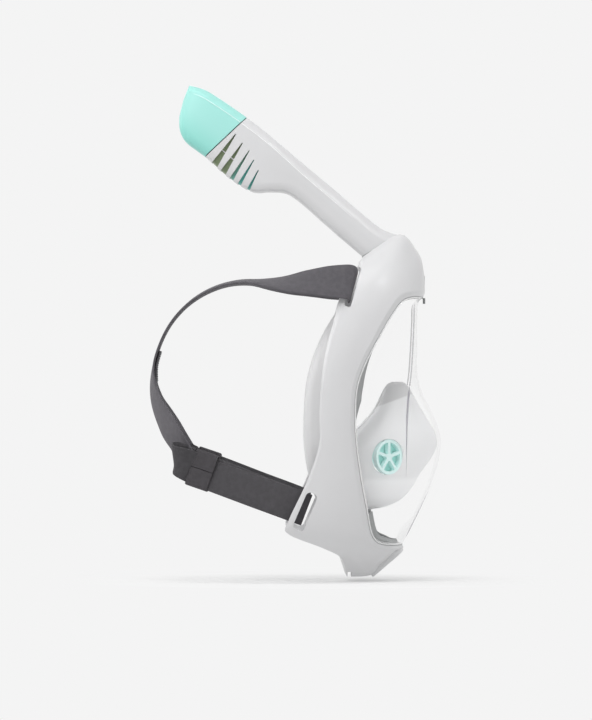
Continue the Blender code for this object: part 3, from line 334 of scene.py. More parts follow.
def apply_modifiers(item):
    """Bakes the modifiers into the piece's own mesh."""
    bpy.context.view_layer.update()
    graph = bpy.context.evaluated_depsgraph_get()
    baked = bpy.data.meshes.new_from_object(item.evaluated_get(graph))
    item.modifiers.clear()
    item.data = baked
    return item


def mirror_at_middle(item):
    step = item.modifiers.new("mirror", "MIRROR")
    step.merge_threshold = 1e-5


def add_wall(item, wall, faces_in):
    """Gives a surface a wall on its inner side, whichever way its faces look."""
    step = item.modifiers.new("wall", "SOLIDIFY")
    step.thickness = wall * MM
    step.offset = 1.0 if faces_in else -1.0
    step.use_even_offset = True


def thicken(item, wall, faces_in):
    """Half a surface made whole, with a wall."""
    mirror_at_middle(item)
    add_wall(item, wall, faces_in)
    return apply_modifiers(item)


def redress(item, look, sharp):
    """One material and smooth shading again, after cuts have added to them."""
    item.data.materials.clear()
    item.data.materials.append(look)
    item.data.shade_smooth()
    item.data.set_sharp_from_angle(angle=math.radians(sharp))


def basis(origin, x_axis, z_axis):
    """A placement with its local Z along z_axis and its local X near x_axis, in millimetres."""
    z_axis = z_axis.normalized()
    y_axis = z_axis.cross(x_axis).normalized()
    x_axis = y_axis.cross(z_axis)
    turn = Matrix((x_axis, y_axis, z_axis)).transposed().to_4x4()
    return Matrix.Translation(origin) @ turn


CORNER_STEPS = 6


def rounded_outline(width, depth, radius):
    """A rectangle with rounded corners, as points round the origin."""
    points = []
    for quarter in range(4):
        cx = (width / 2 - radius) * (1 if quarter in (0, 3) else -1)
        cy = (depth / 2 - radius) * (1 if quarter in (0, 1) else -1)
        for k in range(CORNER_STEPS + 1):
            angle = math.pi / 2 * (quarter + k / CORNER_STEPS)
            points.append((cx + radius * math.cos(angle), cy + radius * math.sin(angle)))
    return points


def prism_mesh(outline, low, high, place):
    """An outline in the local XY plane extruded from low to high and put in its place."""
    work = bmesh.new()
    lower, upper = [[work.verts.new((x, y, level)) for x, y in outline] for level in (low, high)]
    work.faces.new(lower)
    work.faces.new(upper)
    for i in range(-1, len(outline) - 1):
        work.faces.new([lower[i], lower[i + 1], upper[i + 1], upper[i]])
    bmesh.ops.recalc_face_normals(work, faces=work.faces)
    work.transform(place)
    return work


def bevel(item, width, segments):
    """Rounds the piece's sharp edges."""
    step = item.modifiers.new("edges", "BEVEL")
    step.width = width * MM
    step.segments = segments
    step.limit_method = "ANGLE"
    step.angle_limit = math.radians(35)
    apply_modifiers(item)


def cut(target, outline, low, high, place):
    """Cuts an extruded outline out of the piece at once."""
    cutter = new_piece("cutter", prism_mesh(outline, low, high, place), None, None, sharp=None)
    step = target.modifiers.new("cut", "BOOLEAN")
    step.operation = "DIFFERENCE"
    step.object = cutter
    step.solver = "EXACT"
    apply_modifiers(target)
    bpy.data.objects.remove(cutter)


def circle(radius, count=48):
    turns = [2 * math.pi * k / count for k in range(count)]
    return [(radius * math.cos(turn), radius * math.sin(turn)) for turn in turns]


def cord_mesh(line, radius, sides=10, closed=False, fade=(0, 0)):
    """A round tube along a line of points, which thins away over fade points at its ends."""
    rows = []
    count = len(line)
    for i, p in enumerate(line):
        ahead = line[(i + 1) % count] if closed else line[min(i + 1, count - 1)]
        behind = line[i - 1] if closed or i else line[0]
        along = (ahead - behind).normalized()
        side = along.cross(Vector((0.31, 0.11, 0.94))).normalized()
        up = side.cross(along)
        thin = min(1, (i + 0.5) / (fade[0] + 0.5), (count - i - 0.5) / (fade[1] + 0.5))
        rows.append([p + side * x + up * y for x, y in circle(radius * thin, sides)])
    return grid_mesh(rows, wrap_rows=closed, wrap_columns=True)


def cord(name, line, radius, look, body, **shape):
    return new_piece(name, cord_mesh(line, radius, **shape), look, body, sharp=None)


# ---------------- the shell's outlines

# Stations run from the top centre, down one cheek, to the bottom centre. At each one the outer
# surface goes from the window's edge, over the front shoulder and the side, to the rear edge.
FRAME_STATIONS = [
    [(0, -80.5, 88), (0, -82, 89.5), (0, -81, 108), (0, -76.4, 123), (0, -61.4, 135.7),
     (0, -33.5, 119.3), (0, -30, 115)],
    [(26, -78.5, 88.2), (26, -80.4, 89.7), (25, -79, 107), (24.5, -74.5, 120), (24, -61.2, 135.5),
     (24, -33.5, 119.3), (24, -30.5, 114)],
    [(46, -71.8, 88.4), (47, -73, 90.8), (47, -69, 102), (47, -63, 111), (47, -53, 118),
     (48, -33, 114.5), (49, -29.5, 112)],
    [(56.5, -63, 84.8), (59, -62.5, 87.8), (60.5, -56, 95.5), (61.5, -49, 100.5), (62, -41, 103.5),
     (61.5, -28, 103.5), (61, -24, 102)],
    [(64, -54, 73), (67, -53, 76), (69.5, -46, 80.5), (71, -38, 84.5), (71.5, -30, 87),
     (70.5, -19.5, 88), (69.5, -15.5, 87.5)],
    [(71, -43, 54), (74.2, -41, 55.5), (77, -34, 58), (79.3, -27, 61), (80, -20, 63.5),
     (79.5, -12.5, 66), (78.5, -9.5, 66.5)],
    [(76, -33.5, 36), (79.3, -31, 37), (82, -25, 39), (84.3, -18.5, 41), (85.3, -12, 43.5),
     (85, -6.5, 46), (84, -4.3, 46.5)],
    [(79, -27.5, 18), (82.3, -25, 18.5), (85, -19.5, 19.5), (87.3, -13, 20.5), (88.6, -7.5, 21.5),
     (88.7, -2.5, 22.5), (87.8, -0.8, 23)],
    [(80, -26, -2), (83.4, -23.5, -2), (86.2, -18, -2), (88.4, -12, -2), (89.6, -6.5, -2),
     (89.8, -1, -2), (89, 0.8, -2)],
    [(79, -27, -25), (82.4, -24.5, -25), (85.6, -18.5, -25.5), (88, -12, -26), (89.5, -6, -26.5),
     (90, -0.5, -27), (89.3, 1.2, -27)],
    [(75.5, -30.3, -50), (79, -27.5, -51), (83, -20, -52), (86.5, -11, -53), (88.6, -2, -54),
     (90, 8.6, -55), (89.5, 11, -55.5)],
    [(69.5, -34.5, -73), (73, -31.5, -74.5), (77.5, -23, -76.5), (82, -12, -79), (86.5, 4, -82),
     (90, 22, -84), (89.7, 24.6, -84.5)],
    [(62, -38, -92), (65.5, -34.8, -93.5), (69.5, -27, -95), (73.5, -17, -96.3), (78, -2, -97.5),
     (84.3, 22.2, -95.2), (84.3, 24.8, -94.4)],
    [(54, -42, -100.5), (56.5, -39.5, -102.8), (58.5, -34, -104.3), (60, -27, -105.5),
     (61, -17, -106.3), (62, -4, -106.6), (61.5, -1.5, -105.8)],
    [(43, -48.5, -104.2), (44, -47.5, -107), (44, -43, -110.8), (43.5, -36, -114.5),
     (43, -27, -116.5), (43, -16.5, -114.5), (43, -14, -112)],
    [(25, -58.5, -105.2), (25.5, -59.4, -107.6), (26, -55.2, -111.6), (26.5, -46, -120),
     (26.5, -38.4, -127), (26.5, -20.5, -128), (26.5, -15, -113.5)],
    [(0, -64.3, -105.3), (0, -65.2, -107.2), (0, -58.4, -111.4), (0, -47.6, -120.2),
     (0, -38.4, -128.4), (0, -20.3, -129.5), (0, -14.5, -112.5)],
]
RING_STATIONS = [
    (0, -34, 105), (23, -34, 104), (40, -32, 100), (53, -27.5, 92), (63, -20, 79.5),
    (73, -14, 62), (79, -10, 43.5), (82.3, -6.5, 21.5), (83.6, -5, -2), (83.4, -5, -26),
    (81, -6, -49), (76, -9, -70), (69, -13, -86.5), (57, -17, -97.5), (41, -20, -103.5),
    (24, -22, -106), (0, -22, -106.5),
]
SKIRT_STATIONS = [
    (0, -27, 96), (21, -26.5, 95), (37, -23, 90), (48.5, -17, 82), (58, -9.5, 72),
    (66.5, -1.5, 58), (72.5, 5.5, 41), (76.5, 10.5, 21), (78.3, 12.4, -2), (78, 12.6, -24),
    (75, 10, -45), (70, 5, -64), (62, -1, -79), (50.5, -6, -90), (37, -9.5, -96.5),
    (21, -11.5, -99.5), (0, -12, -100.5),
]
LENS_CENTRE = [(-76.6, 82), (-76, 68), (-76, 48), (-76.2, 28), (-80.5, 12), (-88.5, -4),
               (-93.8, -20), (-93.2, -36), (-88.2, -54), (-81, -70.5), (-73.5, -86)]
LENS_CREASE = [(47, -73.2), (50, -72.6), (52, -71.8), (52, -70.6), (52, -68.8), (51, -67.6),
               (50, -67.2), (48.5, -67), (46, -66.2), (42, -65.2), (37, -63.6)]
FRAME_WALL, SKIRT_WALL, POCKET_WALL, TUBE_WALL = 3.2, 1.8, 1.6, 2.2
RING_STEPS = 8


def frame_columns():
    """The frame's long lines, from the top centre to the bottom centre, window's edge first."""
    width = len(FRAME_STATIONS[0])
    return [smooth_line([Vector(station[j]) for station in FRAME_STATIONS], RING_STEPS)
            for j in range(width)]


def with_rims(row):
    """One section of the frame: tight round rims at both edges and a smooth surface between."""
    window, shoulder, *middle, rear, inner = row
    smooth = smooth_line([shoulder, *middle, rear], 5)
    # Near the window's upper corner the face next to its edge is wide and rolls inwards.
    roll = 0.75 * max(0, 1 - abs(window.z - 84) / 40)
    if roll:
        smooth[1] = smooth[1].lerp(smooth[2], roll * 0.4)
        sunk = (shoulder - inner).normalized() * 0.4 * roll
        shoulder = shoulder.lerp(smooth[1], roll * 0.6) - sunk
        smooth[0] = shoulder
    front_rim = [window, window.lerp(shoulder, 0.45), window.lerp(shoulder, 0.85)]
    rear_rim = [rear.lerp(inner, 0.15), rear.lerp(inner, 0.55), inner]
    start = smooth[0].lerp(smooth[1], 0.18)
    end = smooth[-1].lerp(smooth[-2], 0.18)
    return front_rim + [start] + smooth[1:-1] + [end] + rear_rim


# Where the snorkel's plug enters the housing, and the way out of it.
SEAM = Vector((0, -47.45, 127.5))
SEAM_NORMAL = Vector((0, 0.5067, 0.8621))
BUTTON_CENTRE = Vector((0, -81.4, 100))
CHIN_SLOPE_TOP, CHIN_SLOPE_LOW = Vector((0, -58.4, -111.4)), Vector((0, -38.4, -128.4))
# Width, height and corner radius of the frame's holes.
BUTTON_HOLE, SOCKET_HOLE, DRAIN_HOLE = (16.8, 9.8, 3), (33.8, 19.8, 6.4), (2.8, 6.4, 0.8)
PURGE_HOLE_RADIUS = 11.4
COVER_WIDTH, COVER_RISE, COVER_DEPTH = 46, 2.7, 3.2
# The left side's slots for the lower and the upper strap: centre, line, outline and its radius.
STRAP_SLOTS = (((86.5, 11.7, -77.5), (0, 0.397, -0.918), (31, 9), 3.5),
               ((63, -25, 95.5), (0, 0.27, -0.963), (32, 5.2), 1.8))


def chin_place():
    """On the middle of the chin's slanted face, with local Z out of the chin."""
    normal = X.cross(CHIN_SLOPE_LOW - CHIN_SLOPE_TOP).normalized()
    if normal.y > 0:
        normal.negate()
    return basis(CHIN_SLOPE_TOP.lerp(CHIN_SLOPE_LOW, 0.5), X, normal)


def make_frame():
    """The moulded shell, cut for the straps, the button, the plug, the chin valve and the drain."""
    rows = [with_rims(row) for row in rows_of(frame_columns())]
    shell = new_piece("frame_shell", grid_mesh(rows), GREY, "mask", outward=False)
    thicken(shell, FRAME_WALL, faces_in=True)
    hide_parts("main_frame")
    for side in (-1, 1):
        for centre, line, size, radius in STRAP_SLOTS:
            centre = Vector((side * centre[0], *centre[1:]))
            place = basis(centre, Vector(line), X * side)
            cut(shell, rounded_outline(*size, radius), -13, 13, place)
    cut(shell, rounded_outline(*BUTTON_HOLE), -9, 6, basis(BUTTON_CENTRE, X, -Y))
    cut(shell, rounded_outline(*SOCKET_HOLE), -12, 8, basis(SEAM, X, SEAM_NORMAL))
    cut(shell, circle(PURGE_HOLE_RADIUS), -12, 6, chin_place())
    drain = basis(Vector((0, -22.7, -128.5)), Y, X)
    cut(shell, rounded_outline(*DRAIN_HOLE), -50, 50, drain)
    redress(shell, GREY, 35)
    bevel(shell, 0.5, 3)


def make_chin_cover():
    """The cover over the purge valve: a shell let into the chin, with four vents."""
    place = chin_place()
    long = (CHIN_SLOPE_LOW - CHIN_SLOPE_TOP).length
    low = [(x, y) for x, y in rounded_outline(COVER_WIDTH, long - 2.4, 3.4) if y < 0]
    turns = [math.pi * k / 18 for k in range(1, 18)]
    arch = [(22.8 * math.cos(turn), long / 2 - 8 + 14.8 * math.sin(turn) ** 0.6) for turn in turns]
    cover = new_piece("chin_cover", prism_mesh(arch + low, -COVER_DEPTH, COVER_RISE, place), GREY,
                      "mask")
    bevel(cover, 0.7, 4)
    cut(cover, rounded_outline(COVER_WIDTH - 4, long - 4.6, 2.2), -6, COVER_RISE - 0.55, place)
    for k in range(4):
        vent = [(x, y + (k - 1.5) * 4.6) for x, y in rounded_outline(26, 2.2, 1.0)]
        cut(cover, vent, 0, 9, place)
    redress(cover, GREY, 35)
    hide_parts("chin_valve_cover")


# ---------------- visor

# The column of the visor's mesh that lies on its fold.
FOLD_COLUMN = 10


def lens_rows():
    """The visor's half, in rows from the window's edge over the fold to the middle."""
    window = [Vector(s[0]) for s in FRAME_STATIONS]
    shoulders = [Vector(s[1]) for s in FRAME_STATIONS]
    edge = [p + (p - q).normalized() * 0.6 for p, q in zip(window, shoulders)]
    coarse = [[edge[2], edge[2].lerp(edge[1], 0.5), edge[1], edge[1].lerp(edge[0], 0.5), edge[0]]]
    for k, (centre, crease) in enumerate(zip(LENS_CENTRE, LENS_CREASE)):
        side = edge[k + 3]
        middle = Vector((0, *centre))
        fold = Vector((crease[0], crease[1], 0))
        share = (fold.y - side.y) / (middle.y - side.y)
        fold.z = side.z + (middle.z - side.z) * share
        panel = (side + fold) / 2 + Vector((0.8, -0.8, 0))
        front = fold.lerp(middle, 0.5)
        front.y -= 0.30 * abs(middle.y - fold.y)
        coarse.append([side, panel, fold, front, middle])
    coarse.append([edge[14], edge[14].lerp(edge[15], 0.5), edge[15], edge[15].lerp(edge[16], 0.5),
                   edge[16]])
    columns = [smooth_line(list(column), RING_STEPS) for column in zip(*coarse)]
    rows = []
    for side, panel, fold, front, middle in zip(*columns):
        near = smooth_line([side, panel, fold], 5)
        far = smooth_line([fold, front, middle], 6)
        rows.append(near[:-1] + [near[-2].lerp(fold, 0.85), fold.lerp(far[1], 0.15)] + far[1:])
    return rows


def make_lens():
    """The clear visor, with lines of painted shade along its fold and the foot of its middle, and
    its edge lines.
    """
    lens = new_piece("visor_shell", grid_mesh(lens_rows()), LENS, "mask", sharp=None, outward=False)
    mirror_at_middle(lens)
    apply_modifiers(lens)
    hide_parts("visor_lens")
    fold = [row[FOLD_COLUMN] for row in lens_rows()[RING_STEPS:]]
    for side, word in ((Vector, "left"), (mirror_point, "right")):
        for part, low, high, look, radius, fade in (
                ("upper", 0, 30, LENS_FOLD_SHADE, 0.5, (3, 0)),
                ("lower", 29, 61, LENS_FOLD_SHADE_LOW, 0.8, (4, 22))):
            bead = cord(f"visor_fold_{part}_{word}", [side(p) for p in fold[low:high]], radius,
                        look, "mask", fade=fade)
        edge_cords(side, word)
        painted_shade_flange(side, word)
    middle = [row[-1] for row in lens_rows() if -100 < row[-1].z < -60]
    line = cord("visor_middle_line", middle, 0.34, LENS_FOLD_SHADE_LOW, "mask", fade=(8, 2))


def window_frames():
    """Along the window's edge: the edge point, the way into the window and the outward normal."""
    columns = frame_columns()
    edge, shoulder = columns[0], columns[1]
    frames = []
    for i, p in enumerate(edge):
        into = (p - shoulder[i]).normalized()
        along = (edge[min(i + 1, len(edge) - 1)] - edge[max(i - 1, 0)]).normalized()
        out = along.cross(into).normalized()
        if out.dot(Vector((p.x, p.y, 0))) < 0:
            out.negate()
        frames.append((p, into, out))
    return frames


def edge_cords(side, word):
    """The lines along the visor's edge: a groove, and the visor's moulded rim and a second bead as
    painted highlights.
    """
    frames = window_frames()
    for name, into_by, out_by, radius, look in (("groove", 0.35, -0.35, 0.46, GASKET_AND_SHADE),
                                                ("rim", 1.2, 0.2, 0.62, LENS_EDGE_HIGHLIGHT),
                                                ("bead", 2.3, -0.9, 0.35, LENS_EDGE_HIGHLIGHT)):
        line = [side(p + into * into_by + out * out_by) for p, into, out in frames]
        made = cord(f"visor_{name}_{word}", line, radius, look, "mask")


def painted_shade_flange(side, word):
    """A dark strip inside the window's edge, seen through the visor: painted shade of the walls
    behind it.
    """
    frames = window_frames()
    for part, first, last, wide in (("upper", 39, 71, 7.0), ("lower", 91, 129, 6.8)):
        strip = []
        for k in range(first, last):
            p, into, out = frames[k]
            taper = 1.0
            if part == "upper":
                taper = min(1, 0.28 + (k - first) / 22, 0.1 + (last - 1 - k) / 11)
            base = p - out * 2.2 + X * (-1.2 if p.x > 3 else -0.4 * p.x)
            reach = Vector((0, into.y, into.z)).normalized() * (wide * taper)
            lean = X * (-1.6 * min(1, p.x / 20))
            strip.append([side(base - reach * 0.3), side(base + reach * 0.5 + lean),
                          side(base + reach + lean * 2)])
        made = new_piece(f"visor_shade_flange_{part}_{word}", grid_mesh(strip), GASKET_AND_SHADE, "mask", sharp=None)
        thick = made.modifiers.new("wall", "SOLIDIFY")
        thick.thickness = 0.8 * MM
        apply_modifiers(made)


# ---------------- skirt and pocket

def centre_of(p):
    """The point on the middle plane that the skirt's section at p leans towards."""
    return Vector((0, p.y, 0.45 * p.z))


def make_skirt():
    """The soft skirt: clamped at its foot, out to the face and rolled in round the opening."""
    ring = smooth_line([Vector(s) for s in RING_STATIONS], RING_STEPS)
    back = smooth_line([Vector(s) for s in SKIRT_STATIONS], RING_STEPS)
    rows = []
    for r, s in zip(ring, back):
        into_ring = (centre_of(r) - r).normalized()
        into = (centre_of(s) - s).normalized()
        root = r + into_ring * 2.1
        foot = root + into_ring * 0.5 - Y * 3.0
        rise = s - into * 2.5 - Y * 4
        profile = [foot, root + Y * 1.0, rise.lerp(root, 0.35), rise, s, s + into * 7 - Y * 0.6,
                   s + into * 15 - Y * 3.6, s + into * 20 - Y * 8.5]
        rows.append(smooth_line(profile, 4))
    skirt = new_piece("skirt", grid_mesh(rows), SILICONE, "mask", outward=False)
    thicken(skirt, SKIRT_WALL, faces_in=True)
    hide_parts("face_skirt")


# Height, rear, front and half width of the pocket, and its half plan as shares of the last three.
POCKET_ROWS = [
    (22.0, -56, -64, 0), (19.5, -52, -68, 11), (12.5, -48.5, -72.5, 20), (2.5, -44, -78, 29),
    (-8.0, -36, -84.5, 37.5), (-17.5, -26, -89.8, 44), (-27.5, -13, -91.2, 49),
    (-37.0, -10, -87, 50), (-49.0, -9, -78.5, 48.5), (-60.0, -11, -72, 44), (-69.0, -15, -64, 37),
    (-75.0, -20, -52, 26), (-77.5, -26, -40, 0),
]
POCKET_PLAN = [(1.06, 0.0), (1.0, 0.08), (1.02, 0.28), (0.93, 0.48), (0.70, 0.69), (0.40, 0.87),
               (0.16, 0.97), (0.0, 1.0)]
VALVE_CENTRE = Vector((42.0, -52.2, -36.0))
VALVE_NORMAL = Vector((0.75, -0.66, 0.0)).normalized()
VALVE_RADIUS = 13.5


def valve_place(side):
    centre, normal = VALVE_CENTRE, VALVE_NORMAL
    if side < 0:
        centre, normal = mirror_point(centre), mirror_point(normal)
    return basis(centre, Z.cross(normal), normal)


def make_pocket():
    """The pocket over nose and mouth, with a round hole for the valve in each side."""
    columns = []
    for across, along in POCKET_PLAN:
        points = [Vector((half * across, rear + (front - rear) * along, height))
                  for height, rear, front, half in POCKET_ROWS]
        columns.append(smooth_line(points, 5))
    rows = [smooth_line(row, 4) for row in rows_of(columns)]
    pocket = new_piece("pocket", grid_mesh(rows), POCKET, "mask", sharp=None, outward=False)
    thicken(pocket, POCKET_WALL, faces_in=False)
    for side in (-1, 1):
        cut(pocket, circle(VALVE_RADIUS + 0.3), -9, 9, valve_place(side))
    redress(pocket, POCKET, 40)
    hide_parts("orinasal_pocket")


# ---------------- snorkel

SEAM_GAP = 0.7
# Low point, high point, half width and top bevel of the sections, from the seam upwards.
TUBE_STATIONS = [
    ((-33.5, 119.3), (-61.4, 135.7), 22.5, 10.0), ((-26, 125.6), (-48.5, 140.2), 22.0, 7.0),
    ((-15.6, 134.3), (-31.4, 153.6), 21.5, 6.0), ((0, 148.0), (-15.6, 167.3), 21.5, 6.0),
    ((14.5, 160.8), (1.5, 181.6), 22.0, 6.0), ((25.7, 168.1), (13.0, 191.2), 23.0, 5.8),
    ((38.5, 169.4), (24.0, 200.5), 24.2, 5.4), ((52.8, 169.7), (35.5, 210.2), 25.0, 5.0),
    ((71.3, 180.8), (46.5, 219.2), 25.0, 5.0), ((88.4, 196.4), (56.4, 226.6), 25.0, 5.0),
]
CAP_STATIONS = [
    ((88.9, 196.9), (56.9, 227.1), 25.0, 5.0), ((96.2, 202.2), (67.0, 234.2), 24.8, 5.0),
    ((102.6, 207.0), (78.0, 241.6), 24.2, 5.0), ((106.6, 211.8), (88.0, 247.8), 23.0, 5.0),
    ((108.9, 218.4), (96.0, 250.6), 21.0, 4.5), ((109.2, 227.0), (101.4, 251.8), 18.0, 4.0),
]
# The tip of each louvre and the two ends of its mouth.
LOUVRES = [((65.5, 214.4), (84.0, 192.5), (79.6, 189.3)),
           ((60.2, 207.6), (76.9, 186.6), (73.2, 183.4)),
           ((55.0, 201.6), (69.8, 180.9), (67.2, 179.0)),
           ((51.4, 194.4), (63.8, 176.2), (61.6, 174.6)),
           ((47.9, 186.4), (56.8, 171.9), (54.8, 170.6))]
TUBE_AXIS = Vector((0, 0.766, 0.643))
SEAM_LIP = ((-33.4, 119.2), (-61.5, 135.8), 22.7, 10.0)
LINER_INSET = 3.2


def tube_section(low, high, half, edge):
    """One ring of the tube: flat sides, round lower corners and a soft bevel to the top face."""
    lower, upper = Vector((0, *low)), Vector((0, *high))
    up = (upper - lower).normalized()
    depth = (upper - lower).length
    r = 4.5
    outline = [(half - r - 4, 0), (half - r, 0.25), (half - 0.35 * r, 0.35 * r), (half - 0.05, r),
               (half, r + 4), (half, depth * 0.5), (half, depth - edge - 1.2),
               (half - 0.25, depth - edge), (half - 0.28 * edge - 0.6, depth - 0.62 * edge),
               (half - 1.2 * edge + 0.6, depth - 0.25), (half - 1.2 * edge - 1.4, depth)]
    ring = outline + [(-x, y) for x, y in reversed(outline)]
    return [lower + X * x + up * y for x, y in ring]


def smooth_stations(stations, steps):
    """More stations along smooth curves through the given ones."""
    ends = [(Vector((half, edge, 0)), Vector((0, *low)), Vector((0, *high)))
            for low, high, half, edge in stations]
    sizes, lows, highs = (smooth_line(list(part), steps) for part in zip(*ends))
    return [((b.y, b.z), (t.y, t.z), s.x, s.y) for s, b, t in zip(sizes, lows, highs)]


def tube_shell(name, stations, look, closed):
    """A walled tube through the stations, with its far end closed if asked."""
    rows = [[p + SEAM_NORMAL * SEAM_GAP for p in tube_section(*s)] for s in stations]
    work = grid_mesh(rows, wrap_columns=True)
    if closed:
        last = list(work.verts)[-len(rows[-1]):]
        top = work.verts.new(sum(rows[-1], Vector()) / len(last) + TUBE_AXIS * 1.5)
        for a, b in zip(last, last[1:] + last[:1]):
            work.faces.new((a, b, top))
    bmesh.ops.recalc_face_normals(work, faces=work.faces)
    shell = new_piece(name, work, look, "snorkel", outward=False)
    middle = sum((p for row in rows for p in row), Vector()) / (len(rows) * len(rows[0]))
    face = shell.data.polygons[0]
    looks_in = face.normal.dot(face.center - middle * MM) < 0
    add_wall(shell, TUBE_WALL, looks_in)
    return apply_modifiers(shell)


def make_head_liner():
    """The valve's inner casing, whose darker wall shows through the louvres, and its two ribs."""
    stations = [(low, high, half - LINER_INSET, edge) for low, high, half, edge
                in smooth_stations(TUBE_STATIONS[5:], 5)]
    rows = []
    for low, high, half, edge in stations:
        lower, upper = Vector((0, *low)), Vector((0, *high))
        up = (upper - lower).normalized() * LINER_INSET
        section = tube_section(tuple(lower + up * 0.4)[1:], tuple(upper - up)[1:], half, edge)
        rows.append([p + SEAM_NORMAL * SEAM_GAP for p in section])
    liner = new_piece("head_liner", grid_mesh(rows, wrap_columns=True), LINER, "snorkel",
                      outward=False)
    wall = liner.modifiers.new("wall", "SOLIDIFY")
    wall.thickness = 0.7 * MM
    apply_modifiers(liner)
    for side in (-1, 1):
        line = [Vector((side * 22.7, 78.5, 204.0)), Vector((side * 22.7, 65.5, 193.2))]
        rib = cord(f"liner_rib_{'right' if side < 0 else 'left'}", smooth_line(line, 4), 0.45,
                   GREY, "snorkel")


def crease_highlights(name, stations, look, fade):
    """Pale glossy cords where the tube's side turns into its top bevel, on both sides: painted
    highlights.
    """
    sections = [tube_section(*s) for s in smooth_stations(stations, 6)]
    for word, index in (("left", 6), ("right", -7)):
        line = [section[index] + SEAM_NORMAL * SEAM_GAP for section in sections]
        inwards = X * (-0.22 if line[0].x > 0 else 0.22)
        line = [p + inwards for p in line]
        cord(f"{name}_{word}", line, 0.48, look, "snorkel", fade=fade)


def make_snorkel():
    """The tube with its louvres, the seam's rubber lip and the cap."""
    tube = tube_shell("tube_shell", smooth_stations(TUBE_STATIONS, 6), GREY, False)
    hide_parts("snorkel_tube")
    for tip, back, front in LOUVRES:
        top, rear, fore = Vector((0, *tip)), Vector((0, *back)), Vector((0, *front))
        outline = [top + TUBE_AXIS * 0.35, top - TUBE_AXIS * 0.35, fore + (fore - top) * 0.15,
                   rear + (rear - top) * 0.15]
        cut(tube, [(p.y, p.z) for p in outline], -40, 40, basis(Vector(), Y, X))
    below = basis(SEAM, X, SEAM_NORMAL)
    cut(tube, rounded_outline(90, 90, 5), -20, SEAM_GAP, below)
    redress(tube, GREY, 35)
    bevel(tube, 0.4, 2)
    make_head_liner()
    lip = [p + SEAM_NORMAL * 0.35 for p in tube_section(*SEAM_LIP)]
    lip = cord("seam_lip", lip, 0.42, RUBBER, "mask", closed=True)
    cap = tube_shell("cap_shell", smooth_stations(CAP_STATIONS, 6), MINT, True)
    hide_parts("snorkel_cap")
    bevel(cap, 0.4, 2)
    crease_highlights("tube_crease_highlight", TUBE_STATIONS[1:], CREASE_HIGHLIGHT, (14, 1))
    crease_highlights("cap_crease_highlight", CAP_STATIONS, CREASE_HIGHLIGHT_MINT, (0, 14))


# ---------------- straps

STRAP_WIDTH, STRAP_THICKNESS = 25.0, 1.7
# A point on the strap's centre line, the way it faces, and its width over STRAP_WIDTH.
HEAD_ROUTE = [
    ((-61.0, -25.2, 95.0), (0.0, -0.963, -0.27), 1.16),
    ((-66.4, -24.6, 97.9), (-0.5, -0.8, 0.1), 1.2),
    ((-69.2, -17.5, 99.2), (-0.86, 0.0, 0.50), 1.22),
    ((-71.0, -6.0, 99.2), (-0.83, 0.05, 0.53), 1.14),
    ((-72.0, 8.0, 98.8), (-0.74, 0.1, 0.66), 1.03), ((-71.5, 20.0, 98.3), (-0.58, 0.1, 0.80), 1.0),
    ((-67.5, 34.0, 98.5), (-0.33, 0.1, 0.94), 1.0), ((-60.5, 50.0, 99.7), (-0.06, 0.12, 1.0), 1.0),
    ((-51.0, 68.0, 98.7), (0, 0.30, 0.95), 1.0), ((-40.0, 86.0, 93.0), (0, 0.50, 0.86), 1.0),
    ((-29.5, 102.0, 83.0), (0, 0.68, 0.73), 1.0), ((-20.5, 115.0, 69.0), (0, 0.83, 0.56), 1.0),
    ((-15.0, 124.3, 52.0), (0, 0.94, 0.34), 1.0), ((-14.0, 129.6, 34.0), (-0.03, 0.99, 0.12), 1.0),
    ((-17.5, 129.8, 17.0), (-0.20, 0.97, -0.08), 1.0),
    ((-27.0, 125.8, 2.5), (-0.38, 0.9, -0.2), 1.0),
    ((-41.0, 119.2, -10.0), (-0.46, 0.86, -0.1), 1.0),
    ((-53.0, 111.8, -21.5), (-0.4, 0.9, 0.0), 0.95),
    ((-59.8, 103.6, -36.2), (-0.6, 0.78, 0.0), 0.84),
]
LOW_FACING = (-0.97, -0.22, 0.0)
# The layer next to the head, from the head strap to the slot, and the layer that comes back.
INNER_ROUTE = [
    ((-61.9, 106.5, -39.4), LOW_FACING, 1.0), ((-65.7, 92.0, -44.8), LOW_FACING, 1.0),
    ((-70.8, 70.0, -53.2), LOW_FACING, 1.0), ((-76.0, 48.0, -61.8), LOW_FACING, 1.0),
    ((-79.7, 27.0, -69.7), (-0.98, -0.16, 0), 1.0), ((-79.2, 11.0, -76.0), (-1, 0.05, 0), 1.0),
]
OUTER_ROUTE = [
    ((-81.2, 10.5, -76.4), (-1.0, 0.05, 0), 1.0), ((-81.6, 27.0, -70.2), (-0.98, -0.16, 0), 1.0),
    ((-77.9, 48.0, -62.6), LOW_FACING, 1.0), ((-73.0, 70.0, -54.8), (-0.97, -0.22, 0.03), 0.98),
    ((-68.6, 88.0, -48.4), (-0.97, -0.22, 0.06), 0.96),
    ((-67.0, 97.0, -44.6), (-0.95, -0.2, -0.1), 0.96),
    ((-69.4, 104.0, -41.0), (-0.93, -0.2, -0.28), 0.98),
    ((-70.4, 109.0, -38.6), (-0.85, 0.4, -0.3), 0.98),
    ((-68.6, 112.4, -36.6), (-0.2, 0.95, -0.2), 0.98),
    ((-65.6, 111.4, -36.0), (0.6, 0.75, 0.1), 0.98),
    ((-63.6, 107.6, -37.2), (0.92, 0.3, 0.2), 0.97),
    ((-63.4, 101.0, -40.4), (0.97, 0.2, 0.1), 0.96),
]


